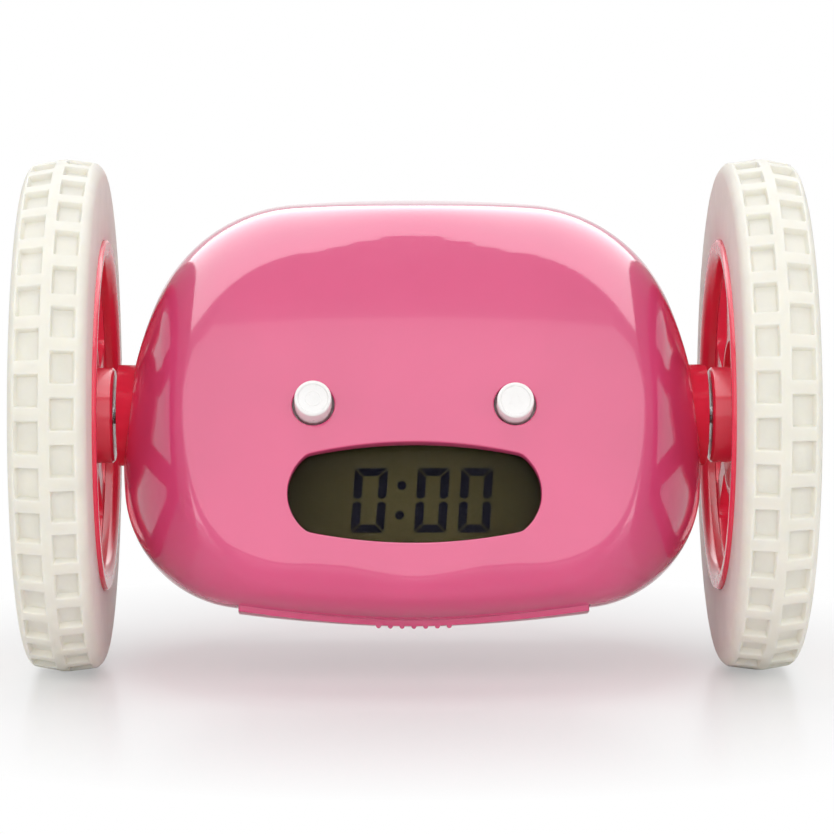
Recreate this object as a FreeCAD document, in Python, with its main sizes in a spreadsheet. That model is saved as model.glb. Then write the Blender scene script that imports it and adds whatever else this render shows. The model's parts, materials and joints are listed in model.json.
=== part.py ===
import FreeCAD, Part
import math
import os
import re
import Sketcher
from FreeCAD import Placement, Rotation, Vector

# Two-wheeled runaway alarm clock: a rounded casing slung between two large soft-tyred wheels.
#
# Millimetres, +Z up.  X runs along the wheel axle, the display faces -Y, and the origin lies on the
# surface that the wheels stand on, under the middle of the clock.  Heights inside the casing are
# counted from the axle, and inside the display panel from the middle of the leaning front face.

DOC = FreeCAD.newDocument("RunawayAlarmClock")
SHEET = DOC.addObject("Spreadsheet::Sheet", "Sizes")

# ------------------------------------------------------------------ driving dimensions, in mm
SIZES = (
    # wheels
    ("wheel_radius", 44.5, "over the tread"),
    ("wheel_gap", 3.3, "casing's flank to the tyre's inner side"),
    ("tyre_width", 12.9, "side to side"),
    ("tread_drop", 0.9, "crown of the tread above its shoulders"),
    ("tread_corner", 2.0, "rounding where the tread turns into the side"),
    ("pocket_count", 36, "pockets in each of the two rows"),
    ("pocket_width", 4.0, "across the tread"),
    ("pocket_length", 5.5, "along the tread"),
    ("pocket_depth", 1.3, "below the crown"),
    ("left_tread_turn", -4.2, "how the left tyre sits on its rim, degrees"),
    ("right_tread_turn", -1.4, "how the right tyre sits on its rim, degrees"),
    ("centre_rib", 1.9, "between the two rows"),
    ("tread_shift", 0.3, "both rows outboard of the tyre's middle"),
    ("rim_radius", 30.5, "seat of the tyre"),
    ("rim_wall", 3.0, "radial thickness of the rim at its lip"),
    ("rim_step", 0.8, "the rim is thinner by this much outboard of the spokes"),
    ("rim_lip", 0.7, "the rim stands proud of the tyre's inner side"),
    ("lip_round", 1.5, "rounding of the rim's inner edge"),
    ("key_height", 1.2, "ridge that keys the rim into the tyre"),
    ("key_width", 4.0, "width of that ridge"),
    ("spoke_recess", 2.6, "rim lip to the face of the spokes"),
    ("spoke_thick", 3.0, "along the axle"),
    ("spoke_width", 5.0, "width of each spoke"),
    ("spoke_count", 6, "spokes in each hub"),
    ("spoke_turn", 12, "spokes lean to the rear from upright, degrees"),
    ("well_radius", 12.9, "round sink about the boss"),
    ("well_depth", 1.4, "of the sink below the spokes' face"),
    ("window_land", 1.5, "rim to the outer end of the windows between spokes"),
    ("window_foot", 1.1, "sink to the inner end of those windows"),
    ("window_round", 1.8, "corner radius of those windows"),
    ("boss_radius", 8.3, "middle of the hub"),
    ("boss_reach", 1.7, "hub's boss inboard of the tyre's inner side"),
    ("boss_length", 11.6, "of the hub's boss"),
    ("cap_radius", 6.4, "of the cap in the hub's outer end"),
    ("cap_depth", 3.4, "of its recess"),
    ("cap_thick", 1.2, "of the cap's disc"),
    # axle and gear train
    ("axle_radius", 1.5, "steel wheel axle"),
    ("running_gap", 0.05, "radial clearance of every shaft that turns"),
    ("gear_module", 0.5, "pitch diameter over teeth"),
    ("wheel_teeth", 30, "of each large gear"),
    ("pinion_teeth", 10, "of each pinion"),
    ("pressure_angle", 25, "degrees"),
    ("tooth_addendum", 0.8, "in modules"),
    ("tooth_dedendum", 1.05, "in modules"),
    ("backlash", 0.05, "taken off each tooth's thickness"),
    ("gear_face", 1.7, "width of every gear"),
    ("gear_gap", 0.4, "between neighbouring gears and plates"),
    ("pin_radius", 0.75, "gear pins and motor shaft"),
    ("first_stage_angle", 180, "first gear to motor, degrees"),
    ("second_stage_angle", 60, "second gear to first gear"),
    ("third_stage_angle", -18, "axle to second gear"),
    ("plate_thick", 1.5, "gearbox plates"),
    ("plate_margin", 2.2, "plate round each bearing or gear"),
    ("gearbox_set", 16.2, "casing's flank to the gearbox's inner plate"),
    ("post_radius", 1.6, "posts between the gearbox plates"),
    ("collar_radius", 8.8, "collar round the axle outside the casing"),
    ("collar_gap", 0.7, "collar's end to the hub's boss"),
    ("motor_radius", 10.0, "motor can"),
    ("motor_flat", 15.0, "across the can's flats"),
    ("motor_length", 25.0, "of the can"),
    ("motor_nose", 3.0, "radius of the can's bearing nose"),
    ("rotor_depth", 7.0, "motor shaft inside the can"),
    ("fore_post_x", -9.4, "gearbox posts, behind the axle"),
    ("fore_post_up", -5.4, "gearbox posts, above the axle"),
    ("low_post_x", 14.0, "behind the axle"),
    ("low_post_up", -13.0, "above the axle"),
    ("high_post_x", 5.5, "behind the axle"),
    ("high_post_up", 11.0, "above the axle"),
    ("post_screw", 0.8, "radius of the gearbox screws"),
    ("post_screw_length", 5.0, "of the gearbox screws"),
    ("axle_screw", 0.8, "radius of the screw in the axle's end"),
    ("axle_screw_length", 6.0, "of that screw"),
    # casing
    ("case_width", 100.4, "side to side"),
    ("case_top", 37.2, "crown above the axle"),
    ("case_bottom", 34.2, "floor of the casing below the axle"),
    ("case_waist", 8.0, "widest line below the axle"),
    ("crown_radius", 300, "top of the casing"),
    ("shoulder_radius", 28, "between top and flank"),
    ("flank_radius", 70, "flanks above the waist"),
    ("keel_radius", 260, "bottom of the casing"),
    ("heel_radius", 20.6, "between bottom and flank"),
    ("chin_radius", 70, "flanks below the waist"),
    ("case_front", 38.0, "nose of the full form ahead of the axle"),
    ("case_rear", 35.0, "tail of the full form behind the axle"),
    ("form_power", 3.3, "how squarely the form closes towards nose and tail"),
    ("face_lean", 22, "degrees"),
    ("face_distance", 25.0, "axle to the front face"),
    ("face_crown", 400, "radius of the gently domed face"),
    ("face_round", 6.5, "rounding round the face"),
    ("tail_distance", 30.0, "axle to the flat rear face"),
    ("tail_round", 6.0, "rounding round the rear face"),
    ("wall", 2.2, "casing thickness"),
    ("fit_gap", 0.2, "round every part that drops into a recess"),
    ("key_gap", 0.3, "round every key in the rear face"),
    ("screw_boss", 3.2, "radius of the casing's screw bosses"),
    ("screw_shank", 1.25, "radius of the casing screws"),
    ("screw_head", 2.3, "radius of their heads"),
    ("screw_rise", 1.6, "height of their heads"),
    ("screw_length", 14.0, "under the head"),
    ("screw_seat", 6.0, "head's seat behind the parting plane"),
    ("upper_screw_x", 24.0, "from the middle"),
    ("upper_screw_z", 26.0, "above the axle"),
    ("lower_screw_x", 36.5, "from the middle"),
    ("lower_screw_z", -21.0, "above the axle"),
    # front face: across, and up the face from its middle
    ("button_across", 16.9, "from the middle of the face"),
    ("button_up", -5.4, "up the face"),
    ("button_hole", 3.55, "radius"),
    ("button_radius", 3.1, "radius of the cap"),
    ("button_flange", 3.85, "radius behind the wall"),
    ("button_flange_thick", 0.8, "thickness of the flange"),
    ("button_travel", 0.8, "pressed"),
    ("left_button_rise", 3.4, "above the middle of the face"),
    ("right_button_rise", 2.2, "above the middle of the face"),
    ("button_seat", 2.9, "middle of the face to the button's flange"),
    ("button_dish", 0.8, "dished part of a button's end, of its radius"),
    ("button_dish_depth", 0.3, "depth of the dish"),
    ("window_half_width", 21.15, "display window"),
    ("window_height", 17.1, "at its middle"),
    ("window_up", -20.5, "middle of the window"),
    ("window_corner_across", 17.8, "where the long and short curves meet"),
    ("window_corner_up", 6.6, "above the middle of the window"),
    ("window_edge_round", 2.5, "corners of the window"),
    ("lens_recess", 1.7, "face to the lens"),
    ("lens_thick", 1.2, "each of the lens's two steps"),
    ("lens_lap", 2.55, "lens behind the wall at each end of the window"),
    ("lens_lap_up", 2.25, "lens behind the wall above and below the window"),
    ("glass_lap", 2.05, "liquid-crystal glass beyond each end of the window"),
    ("glass_lap_up", 1.15, "liquid-crystal glass above and below the window"),
    ("glass_thick", 2.4, "liquid-crystal glass"),
    ("holder_wall", 1.3, "frame round the glass"),
    ("strip_width", 2.0, "rubber connector strips behind the glass"),
    ("strip_inset", 1.0, "glass's edge to the strips"),
    ("board_depth", 9.0, "face to the circuit board"),
    ("board_thick", 1.2, "every circuit board"),
    ("board_edge", 2.0, "screws to each end of the main board"),
    ("board_low", -31.0, "main board's lower edge"),
    ("board_high", 8.0, "main board's upper edge"),
    ("board_boss", 2.2, "radius of its screw bosses"),
    ("board_screw", 0.9, "radius of its screws"),
    ("board_screw_length", 4.0, "in the boss"),
    ("board_screw_gap", 1.1, "display frame to the screw bosses"),
    ("board_screw_low", -26.2, "lower pair"),
    ("board_screw_high", 4.5, "upper pair"),
    ("small_head", 0.9, "height of the small screws' heads"),
    ("chip_length", 10.0, "controller on the main board"),
    ("chip_width", 8.0, "controller on the main board"),
    ("chip_height", 2.0, "controller on the main board"),
    ("switch_width", 6.0, "tactile switch"),
    ("switch_height", 3.2, "above its board"),
    ("switch_body", 2.4, "height of its square body"),
    ("plunger_radius", 1.6, "of the tactile switch"),
    # bottom: batteries and their door
    ("bay_middle", 0.25, "middle of the battery bay behind the axle"),
    ("bay_land", 3.7, "bay's end to the end of the door's opening"),
    ("door_thick", 1.8, "battery door"),
    ("door_proud", 1.0, "door below the casing's floor"),
    ("door_screw_set", 1.7, "bay's end to the door's screws"),
    ("door_screw_shank", 1.0, "radius"),
    ("door_screw_head", 1.9, "radius"),
    ("door_screw_length", 8.0, "under the head"),
    ("door_screw_seat", 0.9, "tray's lower edge to the head's seat"),
    ("screw_tip", 1.0, "hole beyond the end of a screw"),
    ("grip_count", 7, "ridges along the door's front edge"),
    ("grip_pitch", 2.0, "between ridges"),
    ("grip_width", 1.0, "each ridge"),
    ("grip_length", 5.0, "front to back"),
    ("grip_rise", 0.4, "proud of the door"),
    ("tray_wall", 1.5, "battery tray"),
    ("tray_rise", 5.3, "casing's floor to the tray's lower edge"),
    ("tray_flange", 2.4, "rests on the inside of the casing"),
    ("cell_radius", 5.25, "size AAA cell"),
    ("cell_length", 44.5, "size AAA cell"),
    ("cell_nub", 1.9, "radius of its positive end"),
    ("cell_nub_length", 1.0, "height of its positive end"),
    ("cell_count", 4, "cells side by side"),
    ("cell_rise", 3.95, "casing's floor to the cells"),
    ("contact_thick", 0.4, "battery contact plates"),
    ("contact_margin", 1.0, "cell's edge to the edge of its plate and spring"),
    ("spring_length", 3.55, "contact springs between plate and cell"),
    # rear face and top
    ("speaker_radius", 13.0, "loudspeaker"),
    ("speaker_depth", 5.0, "loudspeaker"),
    ("basket_depth", 2.0, "its basket"),
    ("magnet_radius", 7.8, "its magnet"),
    ("speaker_up", 10.0, "above the axle"),
    ("grille_hole", 0.9, "radius"),
    ("grille_pitch", 3.4, "between rings of holes"),
    ("grille_rings", 2, "rings round the middle hole"),
    ("rear_key_x", 20.0, "from the middle"),
    ("rear_key_up", -12.0, "above the axle"),
    ("rear_key_radius", 3.0, "hour and minute buttons"),
    ("rear_key_flange", 3.8, "radius behind the wall"),
    ("rear_key_rise", 1.0, "above the rear face"),
    ("key_post_x", 25.5, "posts of the small rear board"),
    ("post_slim", 1.5, "radius of the small boards' posts"),
    ("rear_board_height", 10.0, "small board behind the rear buttons"),
    ("rear_board_half_width", 27.0, "small board"),
    ("rear_board_at", 18.6, "behind the axle"),
    ("slider_width", 4.0, "alarm switch knob"),
    ("slider_height", 3.0, "alarm switch knob"),
    ("slider_travel", 3.0, "side to side"),
    ("slider_rise", 1.2, "above the rear face"),
    ("slider_lap", 1.0, "slider's plate and case beyond the knob"),
    ("snooze_half_length", 12.0, "snooze bar on top"),
    ("snooze_radius", 4.5, "its rounded ends"),
    ("snooze_back", 14.0, "behind the axle"),
    ("snooze_flange", 1.2, "wider than the bar, behind the wall"),
    ("snooze_board_drop", 12.2, "casing's top to the small board"),
    ("snooze_board_half", 17.5, "small board"),
    ("snooze_board_width", 8.0, "small board"),
    ("snooze_post_x", 15.6, "posts of that board"),
    ("bite", 0.4, "posts and bosses run this far into the wall"),
)


def fill_sheet():
    """Write each size as a plain number with its alias and what it is."""
    for row, (alias, value, note) in enumerate(SIZES, start=1):
        SHEET.set(f"A{row}", alias)
        SHEET.set(f"B{row}", str(value))
        SHEET.setAlias(f"B{row}", alias)
        SHEET.set(f"C{row}", note)
    DOC.recompute()


ALIASES = {alias for alias, _, _ in SIZES}
WORD = re.compile(r"[a-z_]+")


def bound(text):
    """An expression in plain aliases, such as 'wall + fit_gap', as the document reads it."""
    return WORD.sub(lambda hit: "Sizes." + hit[0] if hit[0] in ALIASES else hit[0], str(text))


def value(text):
    """What such an expression comes to now."""
    return float(SHEET.evalExpression(bound(text)))


def point(x=0, y=0, z=0):
    """A point whose coordinates are expressions."""
    return Vector(value(x), value(y), value(z))


# ------------------------------------------------------------------ places that follow from the sizes
TYRE_INSET = "(case_width / 2 + wheel_gap)"
TYRE_OUTER = f"({TYRE_INSET} + tyre_width)"
TYRE_MIDDLE = f"({TYRE_INSET} + tyre_width / 2)"
TREAD_MIDDLE = f"({TYRE_MIDDLE} + tread_shift)"
BOSS_INSET = f"({TYRE_INSET} - boss_reach)"
COLLAR_REACH = f"({BOSS_INSET} - collar_gap)"
GEARBOX_INSET = "(case_width / 2 - gearbox_set)"
WINDOW_OUTER = "(rim_radius - rim_wall - window_land)"
WINDOW_INNER = "(well_radius + window_foot)"
LENS_WIDTH = "(2 * window_half_width + 2 * lens_lap)"
LENS_HEIGHT = "(window_height + 2 * lens_lap_up)"
GLASS_WIDTH = "(2 * window_half_width + 2 * glass_lap)"
GLASS_HEIGHT = "(window_height + 2 * glass_lap_up)"
BOARD_SCREW_X = f"({GLASS_WIDTH} / 2 + fit_gap + holder_wall + board_screw_gap + board_boss)"
CELL_PITCH = "(2 * cell_radius + 2 * fit_gap)"
CELL_DROP = "(case_bottom - cell_rise - cell_radius)"
BAY_HALF = "(cell_length / 2 + spring_length + contact_thick)"
BAY_DEPTH = f"((cell_count - 1) * {CELL_PITCH} + 2 * cell_radius + fit_gap)"
TRAY_DEPTH = f"({BAY_DEPTH} + tray_wall)"
DOOR_HALF = f"({BAY_HALF} + bay_land)"
DOOR_DEPTH = f"({TRAY_DEPTH} + 3 * fit_gap)"
DOOR_FRONT = f"(bay_middle - {DOOR_DEPTH} / 2)"
DOOR_SCREW_X = f"({BAY_HALF} + door_screw_set)"
TRAY_RIM = "(tray_rise - case_bottom)"
DOOR_SEAT = f"({TRAY_RIM} - door_screw_seat)"
SNOOZE_BOARD = "(case_top - snooze_board_drop)"

# ------------------------------------------------------------------ frames
X_AXIS = Vector(1, 0, 0)
Y_AXIS = Vector(0, 1, 0)
Z_AXIS = Vector(0, 0, 1)
REACH = 200.0           # longer than anything in the clock, for cutting tools


def axle_frame():
    """Origin on the axle, axes as the clock's."""
    return Placement(point(z="wheel_radius"), Rotation())


def face_frame():
    """Origin in the middle of the front face: x across, y up the face, z out of it."""
    lean = value("face_lean")
    out = Vector(0, -math.cos(math.radians(lean)), math.sin(math.radians(lean)))
    middle = point(z="wheel_radius") + out * value("face_distance")
    return Placement(middle, Rotation(X_AXIS, 90 - lean))


def side_frame(side):
    """Origin on the axle: z outboard, x to the rear, and y up on the right and down on the left."""
    outboard = X_AXIS * side
    return Placement(point(z="wheel_radius"), Rotation(Y_AXIS, outboard.cross(Y_AXIS), outboard, "ZXY"))


def rear_frame():
    """Origin on the rear face level with the axle: z out of the rear face, y up."""
    return Placement(point(y="tail_distance", z="wheel_radius"), Rotation(-X_AXIS, Z_AXIS, Y_AXIS, "ZXY"))


# ------------------------------------------------------------------ primitives and booleans
NODES = []


def node(obj, label):
    """Give a finished sub-part its name and list it for export."""
    obj.Label = label
    NODES.append(obj)
    return obj


def rod(radius, length, at=(0, 0, 0)):
    """A round bar along local z, from the point at."""
    return ("Part::Cylinder", {"Radius": radius, "Height": length}, at)


def cone(radius, end_radius, length, at=(0, 0, 0)):
    """A tapered bar along local z."""
    return ("Part::Cone", {"Radius1": radius, "Radius2": end_radius, "Height": length}, at)


def block(length, width, height, at=(0, 0, 0)):
    """A box centred on local z, standing on the point at."""
    x, y, z = at
    corner = (f"({x}) - ({length}) / 2", f"({y}) - ({width}) / 2", z)
    return ("Part::Box", {"Length": length, "Width": width, "Height": height}, corner)


def primitive(spec, frame):
    """A Part primitive whose sizes are bound to the sheet."""
    kind, sizes, at = spec
    obj = DOC.addObject(kind, kind.split("::")[1])
    for name, text in sizes.items():
        obj.setExpression(name, bound(text))
    obj.Placement = frame * Placement(point(*at), Rotation())
    return obj


def fused(objects):
    """One object out of several."""
    if len(objects) == 1:
        return objects[0]
    joined = DOC.addObject("Part::MultiFuse", "Fuse")
    joined.Shapes = objects
    joined.Refine = True
    return joined


def cut(base, tool):
    """The base with the tool taken out."""
    result = DOC.addObject("Part::Cut", "Cut")
    result.Base = base
    result.Tool = tool
    result.Refine = True
    return result


def built(frame, add, remove=()):
    """Primitives fused together, less others."""
    base = fused([primitive(spec, frame) for spec in add])
    if not remove:
        return base
    return cut(base, fused([primitive(spec, frame) for spec in remove]))


def group(label, objects):
    """Separate like solids that share one name."""
    compound = DOC.addObject("Part::Compound", "Group")
    compound.Links = objects
    return node(compound, label)


def feature(shape, label):
    """A sub-part whose shape is worked out below from the sheet."""
    obj = DOC.addObject("Part::Feature", "Form")
    obj.Shape = shape
    return node(obj, label)


# ------------------------------------------------------------------ sketches
def origin_feature(body, role):
    """The body's own origin plane or axis with this role."""
    return next(item for item in body.Origin.OriginFeatures if item.Role == role)


def sketch_on(body, role, name, offset=0):
    """An empty sketch on one of the body's origin planes, moved along the plane's normal."""
    sketch = body.newObject("Sketcher::SketchObject", name)
    sketch.AttachmentSupport = [(origin_feature(body, role), "")]
    sketch.MapMode = "FlatFace"
    sketch.setExpression("AttachmentOffset.Base.z", bound(offset))
    return sketch


def arc_between(start, end, radius):
    """The short arc from start to end: anticlockwise for a positive radius."""
    chord = end - start
    height = math.sqrt(radius * radius - chord.Length ** 2 / 4)
    normal = Vector(-chord.y, chord.x, 0).normalize()
    centre = start + chord / 2 + normal * math.copysign(height, radius)
    first, last = (start, end) if radius > 0 else (end, start)
    angles = [math.atan2(tip.y - centre.y, tip.x - centre.x) for tip in (first, last)]
    return Part.ArcOfCircle(Part.Circle(centre, Z_AXIS, abs(radius)), *angles)


def outline(sketch, corners):
    """A closed outline through corners (x, y) or (x, y, radius of the arc that leads there)."""
    spots = [point(corner[0], corner[1]) for corner in corners]
    ends = []
    for index, corner in enumerate(corners):
        start, end = spots[index - 1], spots[index]
        if len(corner) == 2:
            line = sketch.addGeometry(Part.LineSegment(start, end), False)
            ends.append((line, 1, 2))
            continue
        radius = value(corner[2])
        arc = sketch.addGeometry(arc_between(start, end, radius), False)
        ends.append((arc, 1, 2) if radius > 0 else (arc, 2, 1))
        number = sketch.addConstraint(Sketcher.Constraint("Radius", arc, abs(radius)))
        sketch.setExpression(f"Constraints[{number}]", bound(f"abs({corner[2]})"))
    for index, corner in enumerate(corners):
        edge, _, last = ends[index]
        follower, first, _ = ends[(index + 1) % len(ends)]
        sketch.addConstraint(Sketcher.Constraint("Coincident", edge, last, follower, first))
        for kind, text in (("DistanceX", corner[0]), ("DistanceY", corner[1])):
            number = sketch.addConstraint(Sketcher.Constraint(kind, -1, 1, edge, last, value(text)))
            sketch.setExpression(f"Constraints[{number}]", bound(text))
    return sketch


def body_in(frame, name):
    """An empty PartDesign body."""
    body = DOC.addObject("PartDesign::Body", name)
    body.Placement = frame
    return body


def pad(body, sketch, length, back=False):
    """Extrude a sketch along its normal, or against it."""
    solid = body.newObject("PartDesign::Pad", "Pad")
    solid.Profile = sketch
    solid.Reversed = back
    solid.setExpression("Length", bound(length))
    return solid


def pocket(body, sketch, length, along_normal=False):
    """Cut a sketch's outline against its normal, or along it."""
    hole = body.newObject("PartDesign::Pocket", "Pocket")
    hole.Profile = sketch
    hole.Reversed = along_normal
    hole.setExpression("Length", bound(length))
    return hole


def revolve(body, sketch):
    """Turn a sketch once round the body's z axis."""
    ring = body.newObject("PartDesign::Revolution", "Revolution")
    ring.Profile = sketch
    ring.ReferenceAxis = (origin_feature(body, "Z_Axis"), [""])
    ring.Angle = 360
    return ring


def polar(body, original, count):
    """Repeat a feature evenly round the body's z axis."""
    pattern = body.newObject("PartDesign::PolarPattern", "PolarPattern")
    pattern.Originals = [original]
    pattern.Axis = (origin_feature(body, "Z_Axis"), [""])
    pattern.Angle = 360
    pattern.setExpression("Occurrences", bound(count))
    body.Tip = pattern
    return pattern


# ------------------------------------------------------------------ wheels
TREAD_RADIUS = "((tyre_width / 2 - tread_corner)^2 + tread_drop^2) / (2 * tread_drop)"


def tyre(frame, name):
    """Soft ring with a crowned tread and two staggered rows of pockets."""
    body = body_in(frame, "Tyre")
    shoulder = "wheel_radius - tread_drop"
    section = outline(sketch_on(body, "XZ_Plane", "Section"), (
        ("rim_radius", TYRE_INSET),
        (f"{shoulder} - tread_corner", TYRE_INSET),
        (shoulder, f"{TYRE_INSET} + tread_corner", "tread_corner"),
        (shoulder, f"{TYRE_OUTER} - tread_corner", TREAD_RADIUS),
        (f"{shoulder} - tread_corner", TYRE_OUTER, "tread_corner"),
        ("rim_radius", TYRE_OUTER),
        ("rim_radius", f"{TYRE_MIDDLE} + key_width / 2"),
        ("rim_radius + key_height", f"{TYRE_MIDDLE} + key_width / 2"),
        ("rim_radius + key_height", f"{TYRE_MIDDLE} - key_width / 2"),
        ("rim_radius", f"{TYRE_MIDDLE} - key_width / 2"),
    ))
    revolve(body, section)
    turn = value(f"{name}_tread_turn")
    for side in (-1, 1):
        near = f"{TREAD_MIDDLE} + ({side}) * centre_rib / 2"
        far = f"{near} + ({side}) * pocket_width"
        cutter = sketch_on(body, "YZ_Plane", "PocketOutline", "wheel_radius - pocket_depth")
        cutter.AttachmentOffset = Placement(cutter.AttachmentOffset.Base, Rotation(Y_AXIS, turn))
        outline(cutter, (
            ("-pocket_length / 2", near),
            ("pocket_length / 2", near),
            ("pocket_length / 2", far),
            ("-pocket_length / 2", far),
        ))
        polar(body, pocket(body, cutter, "2 * pocket_depth", along_normal=True), "pocket_count")
        turn += 180 / value("pocket_count")
    return node(body, f"{name}_tyre")


def window_corners():
    """Corner points of a window between two spokes, centred on the x axis."""
    half = "(180 / spoke_count * 1deg)"
    offset = "(spoke_width / 2)"
    corners = []
    for limit, side in ((WINDOW_OUTER, 1), (WINDOW_INNER, -1)):
        centre = f"({limit} - ({side}) * window_round)"
        off = f"({offset} + window_round)"
        run = f"sqrt({centre}^2 - {off}^2)"
        lean = f"({half} - asin({off} / {centre}))"
        on_circle = (f"{limit} * cos({lean})", f"{limit} * sin({lean})")
        on_spoke = (f"{run} * cos({half}) + {offset} * sin({half})",
                    f"{run} * sin({half}) - {offset} * cos({half})")
        corners.append((on_circle, on_spoke))
    return corners


def hub(side, name):
    """Rim, spokes and boss in one moulding, with a stepped bore and a recess for the cap."""
    body = body_in(side_frame(side), "Hub")
    lip = f"{TYRE_INSET} - rim_lip"
    face = f"{lip} + spoke_recess"
    back = f"{face} + spoke_thick"
    inner = "rim_radius - rim_wall"
    thin = f"{inner} + rim_step"
    boss_end = f"{BOSS_INSET} + boss_length"
    section = outline(sketch_on(body, "XZ_Plane", "Section"), (
        ("axle_radius", BOSS_INSET),
        ("boss_radius", BOSS_INSET),
        ("boss_radius", f"{face} + well_depth"),
        ("well_radius", f"{face} + well_depth"),
        ("well_radius", face),
        (inner, face),
        (inner, f"{lip} + lip_round"),
        (f"{inner} + lip_round", lip, "lip_round"),
        ("rim_radius", lip),
        ("rim_radius", f"{TYRE_MIDDLE} - key_width / 2"),
        ("rim_radius + key_height", f"{TYRE_MIDDLE} - key_width / 2"),
        ("rim_radius + key_height", f"{TYRE_MIDDLE} + key_width / 2"),
        ("rim_radius", f"{TYRE_MIDDLE} + key_width / 2"),
        ("rim_radius", TYRE_OUTER),
        (thin, TYRE_OUTER),
        (thin, back),
        ("boss_radius", back),
        ("boss_radius", boss_end),
        ("cap_radius", boss_end),
        ("cap_radius", f"{boss_end} - cap_depth"),
        ("axle_radius", f"{boss_end} - cap_depth"),
    ))
    revolve(body, section)
    (outer_on, outer_off), (inner_on, inner_off) = window_corners()
    cutter = sketch_on(body, "XY_Plane", "Window", face)
    turn = Rotation(Z_AXIS, -side * value("spoke_turn"))
    cutter.AttachmentOffset = Placement(cutter.AttachmentOffset.Base, turn)
    outline(cutter, (
        (inner_off[0], f"-({inner_off[1]})", "window_round"),
        (outer_off[0], f"-({outer_off[1]})"),
        (outer_on[0], f"-({outer_on[1]})", "window_round"),
        (*outer_on, WINDOW_OUTER),
        (*outer_off, "window_round"),
        inner_off,
        (*inner_on, "window_round"),
        (inner_on[0], f"-({inner_on[1]})", f"-{WINDOW_INNER}"),
    ))
    polar(body, pocket(body, cutter, "spoke_thick", along_normal=True), "spoke_count")
    return node(body, f"{name}_hub")


# ------------------------------------------------------------------ gear train
TIP_RADIUS = "gear_module * (wheel_teeth / 2 + tooth_addendum)"
STAGE_DISTANCE = "gear_module * (wheel_teeth + pinion_teeth) / 2"


def plane_start(number):
    """Local z where the gears of this plane begin, counted from the gearbox's inner plate."""
    return f"{GEARBOX_INSET} + plate_thick + gear_gap + {number} * (gear_face + gear_gap)"


COVER_START = plane_start(3)
COVER_END = f"{COVER_START} + plate_thick"


def gear_centres(side):
    """Local (x, y) of the axle, second gear, first gear and motor."""
    centres = [Vector()]
    for stage in ("third", "second", "first"):
        angle = math.radians(value(f"{stage}_stage_angle")) * side
        step = Vector(math.cos(angle), math.sin(angle), 0) * value(STAGE_DISTANCE)
        centres.append(centres[-1] + step)
    return centres


def meshing_phase(driver, follower, driver_phase, driver_teeth, follower_teeth):
    """Angle of a follower's tooth, in degrees, that seats it between the driver's teeth."""
    line = follower - driver
    angle = math.degrees(math.atan2(line.y, line.x))
    rolled = (driver_phase - angle) * driver_teeth / follower_teeth
    return angle + 180 + 180 / follower_teeth - rolled


def involute(angle):
    """The involute function of a pressure angle in radians."""
    return math.tan(angle) - angle


def gear_solid(teeth, phase, bore, start, centre):
    """Spur gear with involute flanks, its first tooth at this phase."""
    module = value("gear_module")
    pressure = math.radians(value("pressure_angle"))
    pitch = module * teeth / 2
    base = pitch * math.cos(pressure)
    tip = pitch + module * value("tooth_addendum")
    root = pitch - module * value("tooth_dedendum")
    half_tooth = math.pi / (2 * teeth) - value("backlash") / (2 * pitch) + involute(pressure)

    def spot(radius, side, tooth):
        """A point of the flank on this side of the tooth."""
        reach = max(radius, base)
        half = half_tooth - involute(math.acos(base / reach))
        angle = math.radians(phase) + 2 * math.pi * tooth / teeth + side * half
        return Vector(math.cos(angle), math.sin(angle), 0) * radius

    edges = []
    for tooth in range(teeth):
        foot = max(root, base)
        for side in (-1, 1):
            flank = [spot(radius, side, tooth) for radius in (foot, (foot + tip) / 2, tip)]
            edges.append(Part.Arc(*flank).toShape())
            if root < base:
                edges.append(Part.makeLine(spot(root, side, tooth), flank[0]))
        edges.append(Part.makeLine(spot(tip, -1, tooth), spot(tip, 1, tooth)))
        edges.append(Part.makeLine(spot(root, 1, tooth), spot(root, -1, tooth + 1)))
    face = Part.Face(Part.Wire(Part.__sortEdges__(edges)))
    solid = face.extrude(Z_AXIS * value("gear_face"))
    solid = solid.cut(Part.makeCylinder(value(bore), value("gear_face")))
    solid.translate(centre + Z_AXIS * value(start))
    return solid


def gear_set(side, name):
    """The output gear, both compound gears and the motor's pinion, all in mesh at rest."""
    axle, second, first, motor = gear_centres(side)
    large, small = int(value("wheel_teeth")), int(value("pinion_teeth"))
    second_phase = meshing_phase(axle, second, 0, large, small)
    first_phase = meshing_phase(second, first, second_phase, large, small)
    motor_phase = meshing_phase(first, motor, first_phase, large, small)
    frame = side_frame(side)
    free = "pin_radius + running_gap"
    output = gear_solid(large, 0, "axle_radius", plane_start(2), axle)
    feature(output, f"{name}_output_gear").Placement = frame
    compounds = (("second", second, second_phase, 1), ("first", first, first_phase, 0))
    for label, centre, phase, plane in compounds:
        wheel = gear_solid(large, phase, free, plane_start(plane), centre)
        pinion = gear_solid(small, phase, free, plane_start(plane + 1), centre)
        sleeve = Part.makeCylinder(value("pin_radius + gear_gap"), value("gear_gap"))
        sleeve = sleeve.cut(Part.makeCylinder(value(free), value("gear_gap")))
        sleeve.translate(centre + Z_AXIS * value(f"{plane_start(plane)} + gear_face"))
        compound = wheel.fuse([pinion, sleeve]).removeSplitter()
        feature(compound, f"{name}_{label}_gear").Placement = frame
    pinion = gear_solid(small, motor_phase, "pin_radius", plane_start(0), motor)
    shaft_start = f"{GEARBOX_INSET} - rotor_depth"
    shaft = Part.makeCylinder(value("pin_radius"), value(f"{plane_start(1)} - ({shaft_start})"),
                              motor + Z_AXIS * value(shaft_start))
    feature(pinion.fuse(shaft).removeSplitter(), f"{name}_motor_pinion").Placement = frame


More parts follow.
